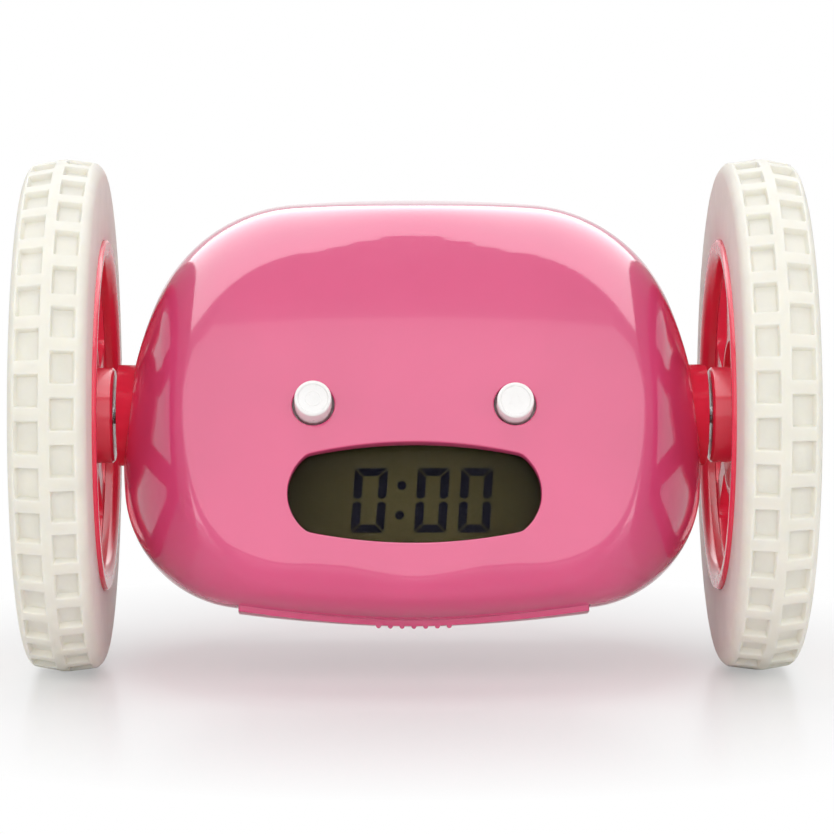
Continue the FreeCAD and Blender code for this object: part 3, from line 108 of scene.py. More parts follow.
class ClockSizes(bpy.types.PropertyGroup):
    """Sizes of the moulded pieces, the same as the solids have."""

    axle_height: length("Axle height", 0.0445, "Axle above the ground")
    case_width: length("Width", 0.1004, "Casing, side to side")
    case_top: length("Top", 0.0372, "Crown above the axle")
    case_bottom: length("Bottom", 0.0342, "Floor of the casing below the axle")
    case_waist: length("Waist", 0.008, "Widest line below the axle")
    crown_radius: length("Crown radius", 0.300, "Top of the casing")
    shoulder_radius: length("Shoulder radius", 0.028, "Between top and flank")
    flank_radius: length("Flank radius", 0.070, "Flanks above the waist")
    keel_radius: length("Keel radius", 0.260, "Bottom of the casing")
    heel_radius: length("Heel radius", 0.0206, "Between bottom and flank")
    chin_radius: length("Chin radius", 0.070, "Flanks below the waist")
    case_rear: length("Rear", 0.035, "Tail of the full form behind the axle")
    form_power: FloatProperty(name="Form power", description="How squarely the form closes", default=3.3)
    face_lean: degrees("Face lean", 22, "Front face from upright")
    face_distance: length("Face distance", 0.025, "Axle to the front face")
    face_crown: length("Face crown", 0.400, "Radius of the gently domed face")
    tail_distance: length("Rear face", 0.030, "Axle to the flat rear face")
    tail_round: length("Rear rounding", 0.006, "Rounding round the rear face")
    wall: length("Wall", 0.0022, "Casing thickness")
    lip: length("Lip", 0.00028, "Softened edge of every opening")
    window_half_width: length("Window half width", 0.02115, "Display window")
    window_height: length("Window height", 0.0171, "At its middle")
    window_up: length("Window up", -0.0205, "Middle of the window, up the face")
    window_corner_across: length("Window corner", 0.0178, "Where long and short curves meet")
    window_corner_up: length("Window corner up", 0.0066, "Above the middle of the window")
    window_round: length("Window rounding", 0.0025, "Corners of the window")
    button_across: length("Button across", 0.0169, "From the middle of the face")
    button_up: length("Button up", -0.0054, "Up the face")
    button_hole: length("Button hole", 0.00355, "Radius")
    button_radius: length("Button", 0.0031, "Radius of the cap")
    left_rise: length("Left button rise", 0.0034, "Above the middle of the face")
    right_rise: length("Right button rise", 0.0022, "Above the middle of the face")
    door_half_width: length("Door half width", 0.0299, "Opening in the bottom")
    door_front: length("Door front", -0.0225, "Front edge of the opening")
    door_back: length("Door back", 0.023, "Rear edge of the opening")
    door_proud: length("Door proud", 0.001, "Below the casing's floor")
    fit_gap: length("Fit gap", 0.0002, "Round every part that drops into a recess")
    wheel_radius: length("Wheel radius", 0.0445, "Over the tread")
    tyre_inset: length("Tyre inset", 0.0535, "Middle of the clock to the tyre's inner side")
    tyre_width: length("Tyre width", 0.0129, "Side to side")
    tread_corner: length("Tread corner", 0.0020, "Rounding between tread and side")
    tread_drop: length("Tread drop", 0.0009, "Crown of the tread above its edges")
    rim_radius: length("Rim radius", 0.0305, "Seat of the tyre")
    rim_lip: length("Rim lip", 0.0007, "Rim beyond the tyre's inner side")
    left_tread_turn: degrees("Left tread turn", -4.2, "How the left tyre sits on its rim")
    right_tread_turn: degrees("Right tread turn", -1.4, "How the right tyre sits on its rim")
    spoke_turn: degrees("Spoke turn", 12, "First spoke behind the top")
    well_radius: length("Hub well radius", 0.0129, "Round sink about the boss")
    well_depth: length("Hub well depth", 0.0014, "Below the spokes' inner side")


class ClockColours(bpy.types.PropertyGroup):
    """Colours of the finishes, linear."""

    casing: colour("Casing pink", (0.67, 0.074, 0.205), "Moulded casing")
    # Painted bounce light: the hubs and collars are the casing's pink plastic, deepened here to red for the
    # light that bounces and shines through inside the wheels.
    hub: colour("Hub red", (0.84, 0.034, 0.085), "Hubs and collars")
    silicone: colour("Silicone", (0.80, 0.78, 0.70), "Tyres")
    button: colour("Button white", (0.84, 0.83, 0.82), "Buttons and keys")
    display: colour("Display olive", (0.026, 0.022, 0.009), "Liquid-crystal glass")
    digit: colour("Digit black", (0.003, 0.003, 0.006), "Dark segments")


def sizes():
    """The scene's sizes."""
    return bpy.context.scene.clock_sizes


def colours():
    """The scene's colours."""
    return bpy.context.scene.clock_colours


# ------------------------------------------------------------------ frames
def axle_point(x=0.0, y=0.0, z=0.0):
    """A point counted from the axle."""
    return Vector((x, y, z + sizes().axle_height))


def face_matrix():
    """The front face's own frame: x across, y up the face, z out of it."""
    lean = sizes().face_lean
    across = Vector((1, 0, 0))
    out = Vector((0, -math.cos(lean), math.sin(lean)))
    up = out.cross(across)
    matrix = Matrix((across, up, out)).transposed().to_4x4()
    matrix.translation = axle_point() + out * sizes().face_distance
    return matrix


def rear_matrix(distance=None):
    """The rear face's own frame, or one nearer the axle: x to the clock's left, y up, z out of it."""
    matrix = Matrix(((-1, 0, 0), (0, 0, 1), (0, 1, 0))).transposed().to_4x4()
    matrix.translation = axle_point(y=sizes().tail_distance if distance is None else distance)
    return matrix


def wheel_matrix(side, turn):
    """Take a piece of the right wheel to its side (-1 left, 1 right), first turned about the axle."""
    centre = Matrix.Translation(axle_point())
    flip = Matrix.Rotation(math.pi if side < 0 else 0.0, 4, "Y")
    return centre @ flip @ Matrix.Rotation(turn, 4, "X") @ centre.inverted()


# ------------------------------------------------------------------ editing
def deselect():
    """Leave edit mode with nothing selected."""
    if bpy.context.mode != "OBJECT":
        bpy.ops.object.mode_set(mode="OBJECT")
    bpy.ops.object.select_all(action="DESELECT")


def pick(obj, *others):
    """Select these objects, the first of them active."""
    deselect()
    for item in (obj, *others):
        item.select_set(True)
    bpy.context.view_layer.objects.active = obj
    return obj


def added(name):
    """Name the primitive that was just added."""
    obj = bpy.context.object
    obj.name = name
    obj.data.name = name
    return obj


def placed(obj, matrix):
    """Move an object's mesh into place, leaving the object at the origin."""
    obj.data.transform(matrix @ obj.matrix_world)
    obj.matrix_world = Matrix.Identity(4)
    obj.data.update()
    return obj


def copied(obj, name, matrix=Matrix.Identity(4)):
    """A copy of an object with a mesh of its own."""
    twin = bpy.data.objects.new(name, obj.data.copy())
    twin.data.name = name
    bpy.context.scene.collection.objects.link(twin)
    twin.data.transform(matrix)
    return twin


def joined(obj, others):
    """Join other objects into the first."""
    if others:
        pick(obj, *others)
        bpy.ops.object.join()
    return obj


def in_edit(obj, mode="VERT"):
    """Enter edit mode on one object with nothing selected in it."""
    pick(obj)
    bpy.ops.object.mode_set(mode="EDIT")
    bpy.ops.mesh.select_mode(type=mode)
    bpy.ops.mesh.select_all(action="DESELECT")


def select_where(obj, kind, test):
    """Select an edited object's faces or edges by their middle point and normal."""
    mesh = bmesh.from_edit_mesh(obj.data)
    found = 0
    for item in getattr(mesh, kind):
        middle = sum((vert.co for vert in item.verts), Vector()) / len(item.verts)
        normal = item.normal if kind == "faces" else None
        item.select_set(bool(test(middle, normal)))
        found += item.select
    mesh.select_flush_mode()
    bmesh.update_edit_mesh(obj.data)
    if not found:
        raise RuntimeError(f"nothing to select on {obj.name}")


def mended(obj, outward=True):
    """Merge an object's doubles and point its faces outwards."""
    in_edit(obj)
    bpy.ops.mesh.select_all(action="SELECT")
    bpy.ops.mesh.remove_doubles(threshold=MERGE)
    if outward:
        bpy.ops.mesh.normals_make_consistent(inside=False)
    deselect()
    return obj


def applied(obj, kind, **settings):
    """Add a modifier with these settings and apply it."""
    modifier = obj.modifiers.new(kind.title(), kind)
    for name, value in settings.items():
        setattr(modifier, name, value)
    pick(obj)
    bpy.ops.object.modifier_apply(modifier=modifier.name)
    return obj


def softened(obj, width, segments=2, angle=35):
    """Round an object's sharp edges."""
    return applied(obj, "BEVEL", width=width, segments=segments, limit_method="ANGLE",
                   angle_limit=math.radians(angle), use_clamp_overlap=True, harden_normals=False)


def smoothed(obj, angle=32):
    """Shade smooth between edges sharper than the angle."""
    pick(obj)
    bpy.ops.object.shade_smooth_by_angle(angle=math.radians(angle))
    deselect()
    return obj


def carved(obj, cutters, operation="DIFFERENCE"):
    """Cut other objects out of one, or keep what lies in them, and delete them."""
    tool = joined(cutters[0], cutters[1:])
    applied(obj, "BOOLEAN", operation=operation, object=tool, solver="EXACT")
    bpy.data.objects.remove(tool)
    return obj


def finished(obj, body, slot, material, *nodes):
    """Give a piece its finish, its body and the solids it stands for."""
    obj.data.materials.clear()
    obj.data.materials.append(material)
    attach(obj, body)
    if nodes:
        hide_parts(*nodes)
    deselect()
    return obj


def from_points(name, verts, edges, faces):
    """A new object from points, edges and faces."""
    mesh = bpy.data.meshes.new(name)
    mesh.from_pydata(verts, edges, faces)
    obj = bpy.data.objects.new(name, mesh)
    bpy.context.scene.collection.objects.link(obj)
    return obj


def spun(name, section, middle, steps):
    """A closed section of (radius, x from the middle) points, spun about the axle."""
    verts = [(middle + x, 0.0, radius + sizes().axle_height) for radius, x in section]
    obj = from_points(name, verts, [(i, (i + 1) % len(verts)) for i in range(len(verts))], [])
    in_edit(obj)
    bpy.ops.mesh.select_all(action="SELECT")
    bpy.ops.mesh.spin(steps=steps, angle=2 * math.pi, center=tuple(axle_point()), axis=(1, 0, 0))
    deselect()
    return mended(obj)


def ring_solid(name, rings, matrix):
    """A closed solid through rings of points that all have the same count, lowest first."""
    count = len(rings[0])
    verts = [matrix @ Vector(spot) for ring in rings for spot in ring]
    faces = [tuple(reversed(range(count)))]
    for level in range(len(rings) - 1):
        base = level * count
        for step in range(count):
            following = (step + 1) % count
            faces.append((base + step, base + following, base + count + following, base + count + step))
    top = (len(rings) - 1) * count
    faces.append(tuple(range(top, top + count)))
    return mended(from_points(name, verts, [], faces))


# ------------------------------------------------------------------ outlines
def circle_outline(radius, count=72, centre=(0.0, 0.0)):
    """Points of a circle and their outward normals."""
    angles = np.linspace(0, 2 * math.pi, count, endpoint=False)
    normals = np.stack((np.cos(angles), np.sin(angles)), 1)
    return normals * radius + np.array(centre), normals


def oval_outline(radius, half_length, centre=(0.0, 0.0), count=18):
    """Points of a slot with round ends, longer along x, and their outward normals."""
    straight = half_length - radius
    spots, normals = [], []
    for side, start in ((1, -math.pi / 2), (-1, math.pi / 2)):
        for step in range(count + 1):
            angle = start + math.pi * step / count
            normal = (math.cos(angle), math.sin(angle))
            normals.append(normal)
            spots.append((side * straight + radius * normal[0] + centre[0], radius * normal[1] + centre[1]))
    return np.array(spots), np.array(normals)


def box_outline(half_width, half_height, corner, centre=(0.0, 0.0), count=6):
    """Points of a rectangle with round corners and their outward normals."""
    spots, normals = [], []
    for index, (side_x, side_y) in enumerate(((1, 1), (-1, 1), (-1, -1), (1, -1))):
        for step in range(count + 1):
            angle = math.pi / 2 * (index + step / count)
            normal = (math.cos(angle), math.sin(angle))
            normals.append(normal)
            spots.append((side_x * (half_width - corner) + corner * normal[0] + centre[0],
                          side_y * (half_height - corner) + corner * normal[1] + centre[1]))
    return np.array(spots), np.array(normals)


def window_outline(shrink=0.0, count=40):
    """The display window: bowed long and short sides with rounded corners."""
    s = sizes()
    across, up = s.window_corner_across, s.window_corner_up
    top, end = s.window_height / 2, s.window_half_width
    long_radius = (across ** 2 + (top - up) ** 2) / (2 * (top - up))
    short_radius = (up ** 2 + (end - across) ** 2) / (2 * (end - across))
    long_centre = np.array((0.0, top - long_radius))
    short_centre = np.array((end - short_radius, 0.0))
    corner = s.window_round
    reach, swing = long_radius - corner, short_radius - corner
    span = short_centre - long_centre
    distance = np.linalg.norm(span)
    along = (reach ** 2 - swing ** 2 + distance ** 2) / (2 * distance)
    aside = math.sqrt(reach ** 2 - along ** 2)
    unit = span / distance
    outward = np.array((unit[1], -unit[0]))
    corner_centre = long_centre + unit * along + outward * aside
    first = math.atan2(*(corner_centre - long_centre)[::-1])
    second = math.atan2(*(corner_centre - short_centre)[::-1])
    quarter, quarter_normals = [], []
    for centre, radius, begin, finish in ((short_centre, short_radius, 0.0, second),
                                          (corner_centre, corner, second, first),
                                          (long_centre, long_radius, first, math.pi / 2)):
        for angle in np.linspace(begin, finish, count, endpoint=False):
            direction = np.array((math.cos(angle), math.sin(angle)))
            quarter.append(centre + direction * (radius - shrink))
            quarter_normals.append(direction)
    quarter.append(np.array((0.0, top - shrink)))
    quarter_normals.append(np.array((0.0, 1.0)))
    spots, normals = [], []
    for flip_x, flip_y, backwards in ((1, 1, False), (-1, 1, True), (-1, -1, False), (1, -1, True)):
        flip = np.array((flip_x, flip_y))
        run = list(zip(quarter, quarter_normals))
        run = run[::-1] if backwards else run
        for spot, direction in run[:-1]:
            spots.append(spot * flip)
            normals.append(direction * flip)
    return np.array(spots) + np.array((0.0, s.window_up)), np.array(normals)


def face_height(spot):
    """Height of the domed face over its middle plane at (x, y)."""
    crown = sizes().face_crown
    return math.sqrt(crown ** 2 - spot[0] ** 2 - spot[1] ** 2) - crown


def level(spot):
    """Height of a flat surface over itself."""
    return 0.0


def opening(name, outline, matrix, surface=level, lip=None):
    """A cutter with this outline whose mouth flares into a rounded lip at the surface."""
    lip = sizes().lip if lip is None else lip
    spots, normals = outline
    rings = [[(spot[0], spot[1], -CUT_DEPTH) for spot in spots]]
    for step in range(7):
        angle = math.pi / 2 * step / 6
        drop, spread = lip * (1 - math.sin(angle)), lip * (1 - math.cos(angle))
        ring = [(*(spot + normal * spread), surface(spot) - drop) for spot, normal in zip(spots, normals)]
        rings.append(ring)
    rings.append([(*(spot + normal * lip * 1.01), CUT_REACH) for spot, normal in zip(spots, normals)])
    return ring_solid(name, rings, matrix)


# ------------------------------------------------------------------ casing form
class CasingForm:
    """The casing's outer form as a gauge that is 1 on its surface, and as a distance with its fillets."""

    def __init__(self, inset=0.0, proud=0.0):
        s = sizes()
        width = s.case_width / 2 - inset
        self.power = s.form_power
        self.inset, self.rear = inset, s.case_rear - inset
        self.tail = s.tail_distance - inset
        self.waist = -s.case_waist
        self.crown = s.face_crown - inset
        out = np.array((0.0, -math.cos(s.face_lean), math.sin(s.face_lean)))
        self.crown_centre = out * (s.face_distance - s.face_crown)
        self.upper = self.arcs(width, s.case_top + s.case_waist - inset, s.crown_radius - inset,
                               s.shoulder_radius - inset, s.flank_radius - inset)
        self.lower = self.arcs(width, s.case_bottom - s.case_waist - inset + proud, s.keel_radius - inset,
                               s.heel_radius - inset, s.chin_radius - inset)
        self.tail_round = s.tail_round - inset

    @staticmethod
    def arcs(width, height, end_radius, corner_radius, side_radius):
        """Three arcs from (0, height) to (width, 0): centres, radii and where one gives way to the next."""
        top = np.array((0.0, height - end_radius))
        side = np.array((width - side_radius, 0.0))
        span = side - top
        reach, swing = end_radius - corner_radius, side_radius - corner_radius
        distance = np.linalg.norm(span)
        along = (reach ** 2 - swing ** 2 + distance ** 2) / (2 * distance)
        across = math.sqrt(reach ** 2 - along ** 2)
        unit = span / distance
        corner = top + unit * along + np.array((unit[1], -unit[0])) * -across
        if corner[0] < 0 or np.linalg.norm(corner - top) > end_radius:
            corner = top + unit * along + np.array((unit[1], -unit[0])) * across
        joints = []
        for centre, radius in ((top, end_radius), (side, side_radius)):
            touch = centre + (corner - centre) / np.linalg.norm(corner - centre) * radius
            joints.append(math.atan2(touch[0], touch[1]))
        return (top, end_radius), (corner, corner_radius), (side, side_radius), joints

    @staticmethod
    def outline_radius(arcs, sine, cosine):
        """Distance from the waist's middle to the outline in the direction (sine, cosine)."""
        angle = np.arctan2(sine, cosine)
        found = np.zeros_like(sine)
        first, second = arcs[3]
        for index, inside in enumerate((angle < first, (angle >= first) & (angle < second), angle >= second)):
            centre, radius = arcs[index]
            toward = sine * centre[0] + cosine * centre[1]
            rest = centre @ centre - radius ** 2
            found = np.where(inside, toward + np.sqrt(np.maximum(toward ** 2 - rest, 0)), found)
        return found

    def nose(self, points):
        """Power, depth and rounding of the front half in each point's direction."""
        side, rise = np.abs(points[:, 0]), points[:, 2] - self.waist
        angle = np.degrees(np.arctan2(side, rise))
        law = np.array(NOSE_LAW)
        knots, values = law[:, 0], law[:, 1:]
        slopes = np.zeros_like(values)
        slopes[1:-1] = (values[2:] - values[:-2]) / (knots[2:] - knots[:-2])[:, None]
        first = np.clip(np.searchsorted(knots, angle) - 1, 0, len(knots) - 2)
        gap = (knots[first + 1] - knots[first])[:, None]
        share = (angle - knots[first])[:, None] / gap
        found = ((1 + 2 * share) * (1 - share) ** 2 * values[first]
                 + share ** 2 * (3 - 2 * share) * values[first + 1]
                 + gap * share * (1 - share) * ((1 - share) * slopes[first] - share * slopes[first + 1]))
        reach = np.hypot(side, rise)
        start = FADE_START - FADE_SHIFT * np.clip((angle - FADE_FROM) / FADE_ACROSS, 0, 1)
        off_axis = np.clip((reach / np.hypot(reach, points[:, 1]) - start) / FADE_SPAN, 0, 1)
        depth = NOSE_DEPTH + (found[:, 1] - NOSE_DEPTH) * off_axis - self.inset
        return found[:, 0], depth, np.maximum(found[:, 2] - self.inset, 0.001) * off_axis + 1e-6

    def gauge(self, points):
        """1 on the form's surface, growing in proportion to the distance from the waist's middle."""
        x, y, z = points[:, 0], points[:, 1], points[:, 2] - self.waist
        radius = np.hypot(x, z) + 1e-12
        sine, cosine = np.abs(x) / radius, np.abs(z) / radius
        edge = np.where(z > 0, self.outline_radius(self.upper, sine, cosine),
                        self.outline_radius(self.lower, sine, cosine))
        power, depth, _ = self.nose(points)
        power, depth = np.where(y < 0, power, self.power), np.where(y < 0, depth, self.rear)
        return ((radius / edge) ** power + (np.abs(y) / depth) ** power) ** (1 / power)

    def gauge_slope(self, points):
        """The gauge and its gradient."""
        here = self.gauge(points)
        step = 1e-7
        slope = np.empty_like(points)
        for axis in range(3):
            shift = np.zeros(3)
            shift[axis] = step
            slope[:, axis] = (self.gauge(points + shift) - self.gauge(points - shift)) / (2 * step)
        return here, slope

    @staticmethod
    def rolled(a, a_normal, b, b_normal, radius):
        """Distance to two surfaces whose edge is rounded by a rolling ball, and its direction."""
        cosine = np.clip((a_normal * b_normal).sum(1), -0.999, 0.9999)
        lift_a, lift_b = a + radius, b + radius
        edge = (lift_a > lift_b * cosine) & (lift_b > lift_a * cosine)
        square = (lift_a ** 2 + lift_b ** 2 - 2 * lift_a * lift_b * cosine) / (1 - cosine ** 2)
        reach = np.sqrt(np.maximum(square, 1e-16))
        share_a = (lift_a - lift_b * cosine) / (1 - cosine ** 2) / reach
        share_b = (lift_b - lift_a * cosine) / (1 - cosine ** 2) / reach
        blended = a_normal * share_a[:, None] + b_normal * share_b[:, None]
        plain = np.where((a > b)[:, None], a_normal, b_normal)
        return np.where(edge, reach - radius, np.maximum(a, b)), np.where(edge[:, None], blended, plain)

    def distance(self, points, rounded=True):
        """Signed distance to the finished form and its outward direction."""
        here, slope = self.gauge_slope(points)
        size = np.linalg.norm(slope, axis=1)
        normal = slope / size[:, None]
        away = (here - 1) / size
        from_crown = points - self.crown_centre
        span = np.linalg.norm(from_crown, axis=1)
        face, face_normal = span - self.crown, from_crown / span[:, None]
        face_round = self.nose(points)[2] if rounded else 1e-6
        tail_round = self.tail_round if rounded else 1e-6
        near_face, near_normal = self.rolled(away, normal, face, face_normal, face_round)
        tail_normal = np.tile(np.array((0.0, 1.0, 0.0)), (len(points), 1))
        return self.rolled(near_face, near_normal, points[:, 1] - self.tail, tail_normal, tail_round)

    def project(self, directions, rounded=True):
        """Points of the surface along directions from the waist's middle."""
        origin = np.array((0.0, 0.0, self.waist))
        low = np.full(len(directions), 0.25)
        high = 1 / self.gauge(directions + origin)
        low = high * low
        for _ in range(26):
            middle = (low + high) / 2
            away, _ = self.distance(directions * middle[:, None] + origin, rounded)
            outside = away > 0
            high = np.where(outside, middle, high)
            low = np.where(outside, low, middle)
        return directions * ((low + high) / 2)[:, None] + origin


def coordinates(mesh):
    """A mesh's points as an array, counted from the axle."""
    flat = np.empty(len(mesh.vertices) * 3)
    mesh.vertices.foreach_get("co", flat)
    points = flat.reshape(-1, 3)
    points[:, 2] -= sizes().axle_height
    return points


def set_coordinates(mesh, points):
    """Write back points that are counted from the axle."""
    points = points.copy()
    points[:, 2] += sizes().axle_height
    mesh.vertices.foreach_set("co", points.ravel())
    mesh.update()


def skin(name, form, cuts, rounded):
    """The form's surface: a finely divided box whose points are pressed onto it."""
    deselect()
    bpy.ops.mesh.primitive_cube_add(size=1.0)
    obj = added(name)
    in_edit(obj)
    bpy.ops.mesh.select_all(action="SELECT")
    bpy.ops.mesh.subdivide(number_cuts=cuts)
    deselect()
    flat = np.empty(len(obj.data.vertices) * 3)
    obj.data.vertices.foreach_get("co", flat)
    box = flat.reshape(-1, 3) * (sizes().case_width, *SKIN_BOX)
    set_coordinates(obj.data, form.project(box, rounded))
    return obj


def true_normals(obj, form):
    """Shade a skin by its form's own normals wherever a face lies on it."""
    mesh = obj.data
    smoothed(obj, 34)
    points = coordinates(mesh)
    away, direction = form.distance(points)
    on_skin = np.abs(away) < 1.5e-5
    count = len(mesh.loops)
    corner = np.empty(count, int)
    mesh.loops.foreach_get("vertex_index", corner)
    starts = np.empty(len(mesh.polygons), int)
    totals = np.empty(len(mesh.polygons), int)
    normals = np.empty(len(mesh.polygons) * 3)
    mesh.polygons.foreach_get("loop_start", starts)
    mesh.polygons.foreach_get("loop_total", totals)
    mesh.polygons.foreach_get("normal", normals)
    normals = normals.reshape(-1, 3)
    owner = np.repeat(np.arange(len(starts)), totals)
    agree = (normals[owner] * direction[corner]).sum(1) > 0.8
    fits = np.ones(len(starts), bool)
    np.logical_and.at(fits, owner, on_skin[corner] & agree)
    plain = np.empty(count * 3)
    mesh.corner_normals.foreach_get("vector", plain)
    chosen = np.where(fits[owner][:, None], direction[corner], plain.reshape(-1, 3))
    mesh.normals_split_custom_set([tuple(normal) for normal in chosen])
    return obj


def parted(obj, side):
    """Keep the part of a closed skin ahead of (-1) or behind (1) the parting plane, left open there."""
    in_edit(obj)
    bpy.ops.mesh.select_all(action="SELECT")
    bpy.ops.mesh.bisect(plane_co=(0, side * HALVES_GAP, 0), plane_no=(0, side, 0), clear_inner=True,
                        threshold=1e-9)
    deselect()
    return obj


def case_half(name, side, outer, inner):
    """One half of the casing's wall, closed along the parting plane."""
    outside = parted(copied(outer, name), side)
    inside = parted(copied(inner, name + "_inside"), side)
    inside.data.flip_normals()
    half = joined(outside, [inside])
    in_edit(half, "EDGE")
    bpy.ops.mesh.select_non_manifold(extend=False, use_wire=False, use_multi_face=False,
                                     use_non_contiguous=False, use_verts=False)
    bpy.ops.mesh.bridge_edge_loops()
    deselect()
    half.name = name
    return half


def front_openings():
    """Cutters for the display window and the two button holes."""
    s = sizes()
    frame_matrix = face_matrix()
    cutters = [opening("window_cut", window_outline(), frame_matrix, face_height)]
    for side in (-1, 1):
        outline = circle_outline(s.button_hole, centre=(side * s.button_across, s.button_up))
        cutters.append(opening("button_cut", outline, frame_matrix, face_height, s.lip * 0.9))
    return cutters


def rear_openings():
    """Cutters for grille, keys, alarm switch and the screw wells in the rear face."""
    frame_matrix = rear_matrix()
    cutters = []
    for x in (-KEY_ACROSS, KEY_ACROSS):
        cutters.append(opening("key_cut", circle_outline(KEY_HOLE, centre=(x, KEY_UP)), frame_matrix))
    cutters.append(opening("slot_cut", box_outline(0.0037, 0.0017, 0.0004, (0.0, KEY_UP)), frame_matrix))
    holes = [(0.0, GRILLE_UP)]
    for ring in (1, 2):
        for step in range(6 * ring):
            turn, reach = 2 * math.pi * step / (6 * ring), GRILLE_PITCH * ring
            holes.append((reach * math.cos(turn), GRILLE_UP + reach * math.sin(turn)))
    for centre in holes:
        hole = circle_outline(GRILLE_HOLE, 24, centre)
        cutters.append(opening("grille_cut", hole, frame_matrix, lip=0.0002))
    return cutters


def prism(name, outline, matrix, start, end):
    """A straight prism of an outline between two heights of a frame."""
    rings = [[(spot[0], spot[1], height) for spot in outline[0]] for height in (start, end)]
    return ring_solid(name, rings, matrix)


def shared_openings():
    """Cutters for the battery bay and the axle collars, which both halves give way to."""
    s = sizes()
    axle = Matrix.Translation(axle_point())
    bay_floor, bay_roof = -0.045, -0.026
    collar_hole, collar_start, collar_end = 0.0090, 0.036, 0.056
    middle = (s.door_front + s.door_back) / 2
    bay = box_outline(s.door_half_width, (s.door_back - s.door_front) / 2, 0.0004, (0.0, middle))
    cutters = [prism("bay_cut", bay, axle, bay_floor, bay_roof)]
    for side in (-1, 1):
        turn = Matrix.Rotation(math.radians(90 * side), 4, "Y")
        collar = circle_outline(collar_hole, 96)
        cutters.append(prism("collar_cut", collar, axle @ turn, collar_start, collar_end))
    return cutters


def snooze_outline(grow=0.0):
    """The snooze bar's outline on top of the casing, behind the axle."""
    radius, half_length, behind = 0.0045, 0.012, 0.014
    return oval_outline(radius + grow, half_length + grow, (0.0, behind))


def screw_wells():
    """Cutters for the four counterbored casing screws."""
    radius, start, end = 0.0025, 0.006, 0.040
    upper, lower = (0.024, 0.026), (0.0365, -0.021)
    outlines = [circle_outline(radius, 48, (side * x, z)) for x, z in (upper, lower) for side in (-1, 1)]
    return [prism("well_cut", outline, rear_matrix(0.0), start, end) for outline in outlines]


# ------------------------------------------------------------------ materials
class Finish:
    """A node-based material on Object coordinates, built up one socket at a time."""

    def __init__(self, name):
        self.material = bpy.data.materials.new(name)
        self.material.use_nodes = True
        self.tree = self.material.node_tree
        self.shader = self.tree.nodes["Principled BSDF"]
        self.spot = self.tree.nodes.new("ShaderNodeTexCoord").outputs["Object"]

    def set(self, **values):
        """Values on the shader's own sockets, underscores for spaces."""
        for name, value in values.items():
            self.shader.inputs[name.replace("_", " ")].default_value = value
        return self

    def node(self, kind, settings=(), **inputs):
        """A node with some attributes set and its inputs filled or linked."""
        item = self.tree.nodes.new(kind)
        for name, value in dict(settings).items():
            setattr(item, name, value)
        for name, value in inputs.items():
            socket = item.inputs[int(name[1:]) if name[1:].isdigit() else name.replace("_", " ")]
            if isinstance(value, bpy.types.NodeSocket):
                self.tree.links.new(value, socket)
            else:
                socket.default_value = value
        return item

    def noise(self, scale, detail=3.0, roughness=0.5):
        """Noise of a given scale in waves per metre."""
        item = self.node("ShaderNodeTexNoise", Scale=scale, Detail=detail, Roughness=roughness,
                         Vector=self.spot)
        return item.outputs["Fac"]

    def ramp(self, factor, low, high, start=0.3, end=0.7):
        """Two colours or greys across part of a factor."""
        item = self.node("ShaderNodeMapRange", settings={"clamp": True}, Value=factor)
        for name, value in (("From Min", start), ("From Max", end), ("To Min", low), ("To Max", high)):
            item.inputs[name].default_value = value
        return item.outputs["Result"]

    def blend(self, factor, low, high):
        """A colour between two, by a factor."""
        item = self.node("ShaderNodeMix", settings={"data_type": "RGBA"})
        self.tree.links.new(factor, item.inputs[0])
        for socket, value in ((item.inputs[6], low), (item.inputs[7], high)):
            if isinstance(value, bpy.types.NodeSocket):
                self.tree.links.new(value, socket)
            else:
                socket.default_value = (*value, 1.0)
        return item.outputs[2]

    def link(self, output, name):
        """Feed one of the shader's sockets."""
        self.tree.links.new(output, self.shader.inputs[name])
        return self

    def bump(self, height, distance, strength=1.0):
        """Relief from a height."""
        item = self.node("ShaderNodeBump", Height=height, Distance=distance, Strength=strength)
        return self.link(item.outputs["Normal"], "Normal")


def tinted(base, factor):
    """A colour made lighter or darker."""
    return tuple(min(channel * factor, 1.0) for channel in base)


def plastic(name, base, roughness, coat=0.0, subsurface=0.0, index=1.46):
    """Moulded plastic: faint unevenness of colour, gloss and surface."""
    variation, peel = 0.03, 0.000004
    finish = Finish(name)
    finish.set(IOR=index, Coat_Weight=coat, Coat_Roughness=0.04)
    if subsurface:
        finish.set(Subsurface_Weight=subsurface, Subsurface_Radius=(1.0, 0.35, 0.3), Subsurface_Scale=0.0015)
    cloud = finish.ramp(finish.noise(60, 4.0), 0.0, 1.0)
    finish.link(finish.blend(cloud, tinted(base, 1 - variation), tinted(base, 1 + variation)), "Base Color")
    finish.link(finish.ramp(finish.noise(900, 2.0), roughness * 0.85, roughness * 1.2), "Roughness")
    finish.bump(finish.noise(1400, 2.0), peel)
    return finish.material


def silicone():
    """Soft translucent rubber with a fine matt skin and a little dust in it."""
    base = tuple(colours().silicone)
    finish = Finish("soft silicone")
    finish.set(IOR=1.41, Subsurface_Weight=0.55, Subsurface_Radius=(1.0, 0.86, 0.62), Subsurface_Scale=0.0022)
    cloud = finish.ramp(finish.noise(180, 5.0), 0.0, 1.0)
    finish.link(finish.blend(cloud, tinted(base, 0.965), tinted(base, 1.03)), "Base Color")
    finish.link(finish.ramp(finish.noise(2600, 3.0), 0.42, 0.62), "Roughness")
    finish.bump(finish.noise(2200, 4.0, 0.65), 0.00006, 0.6)
    return finish.material


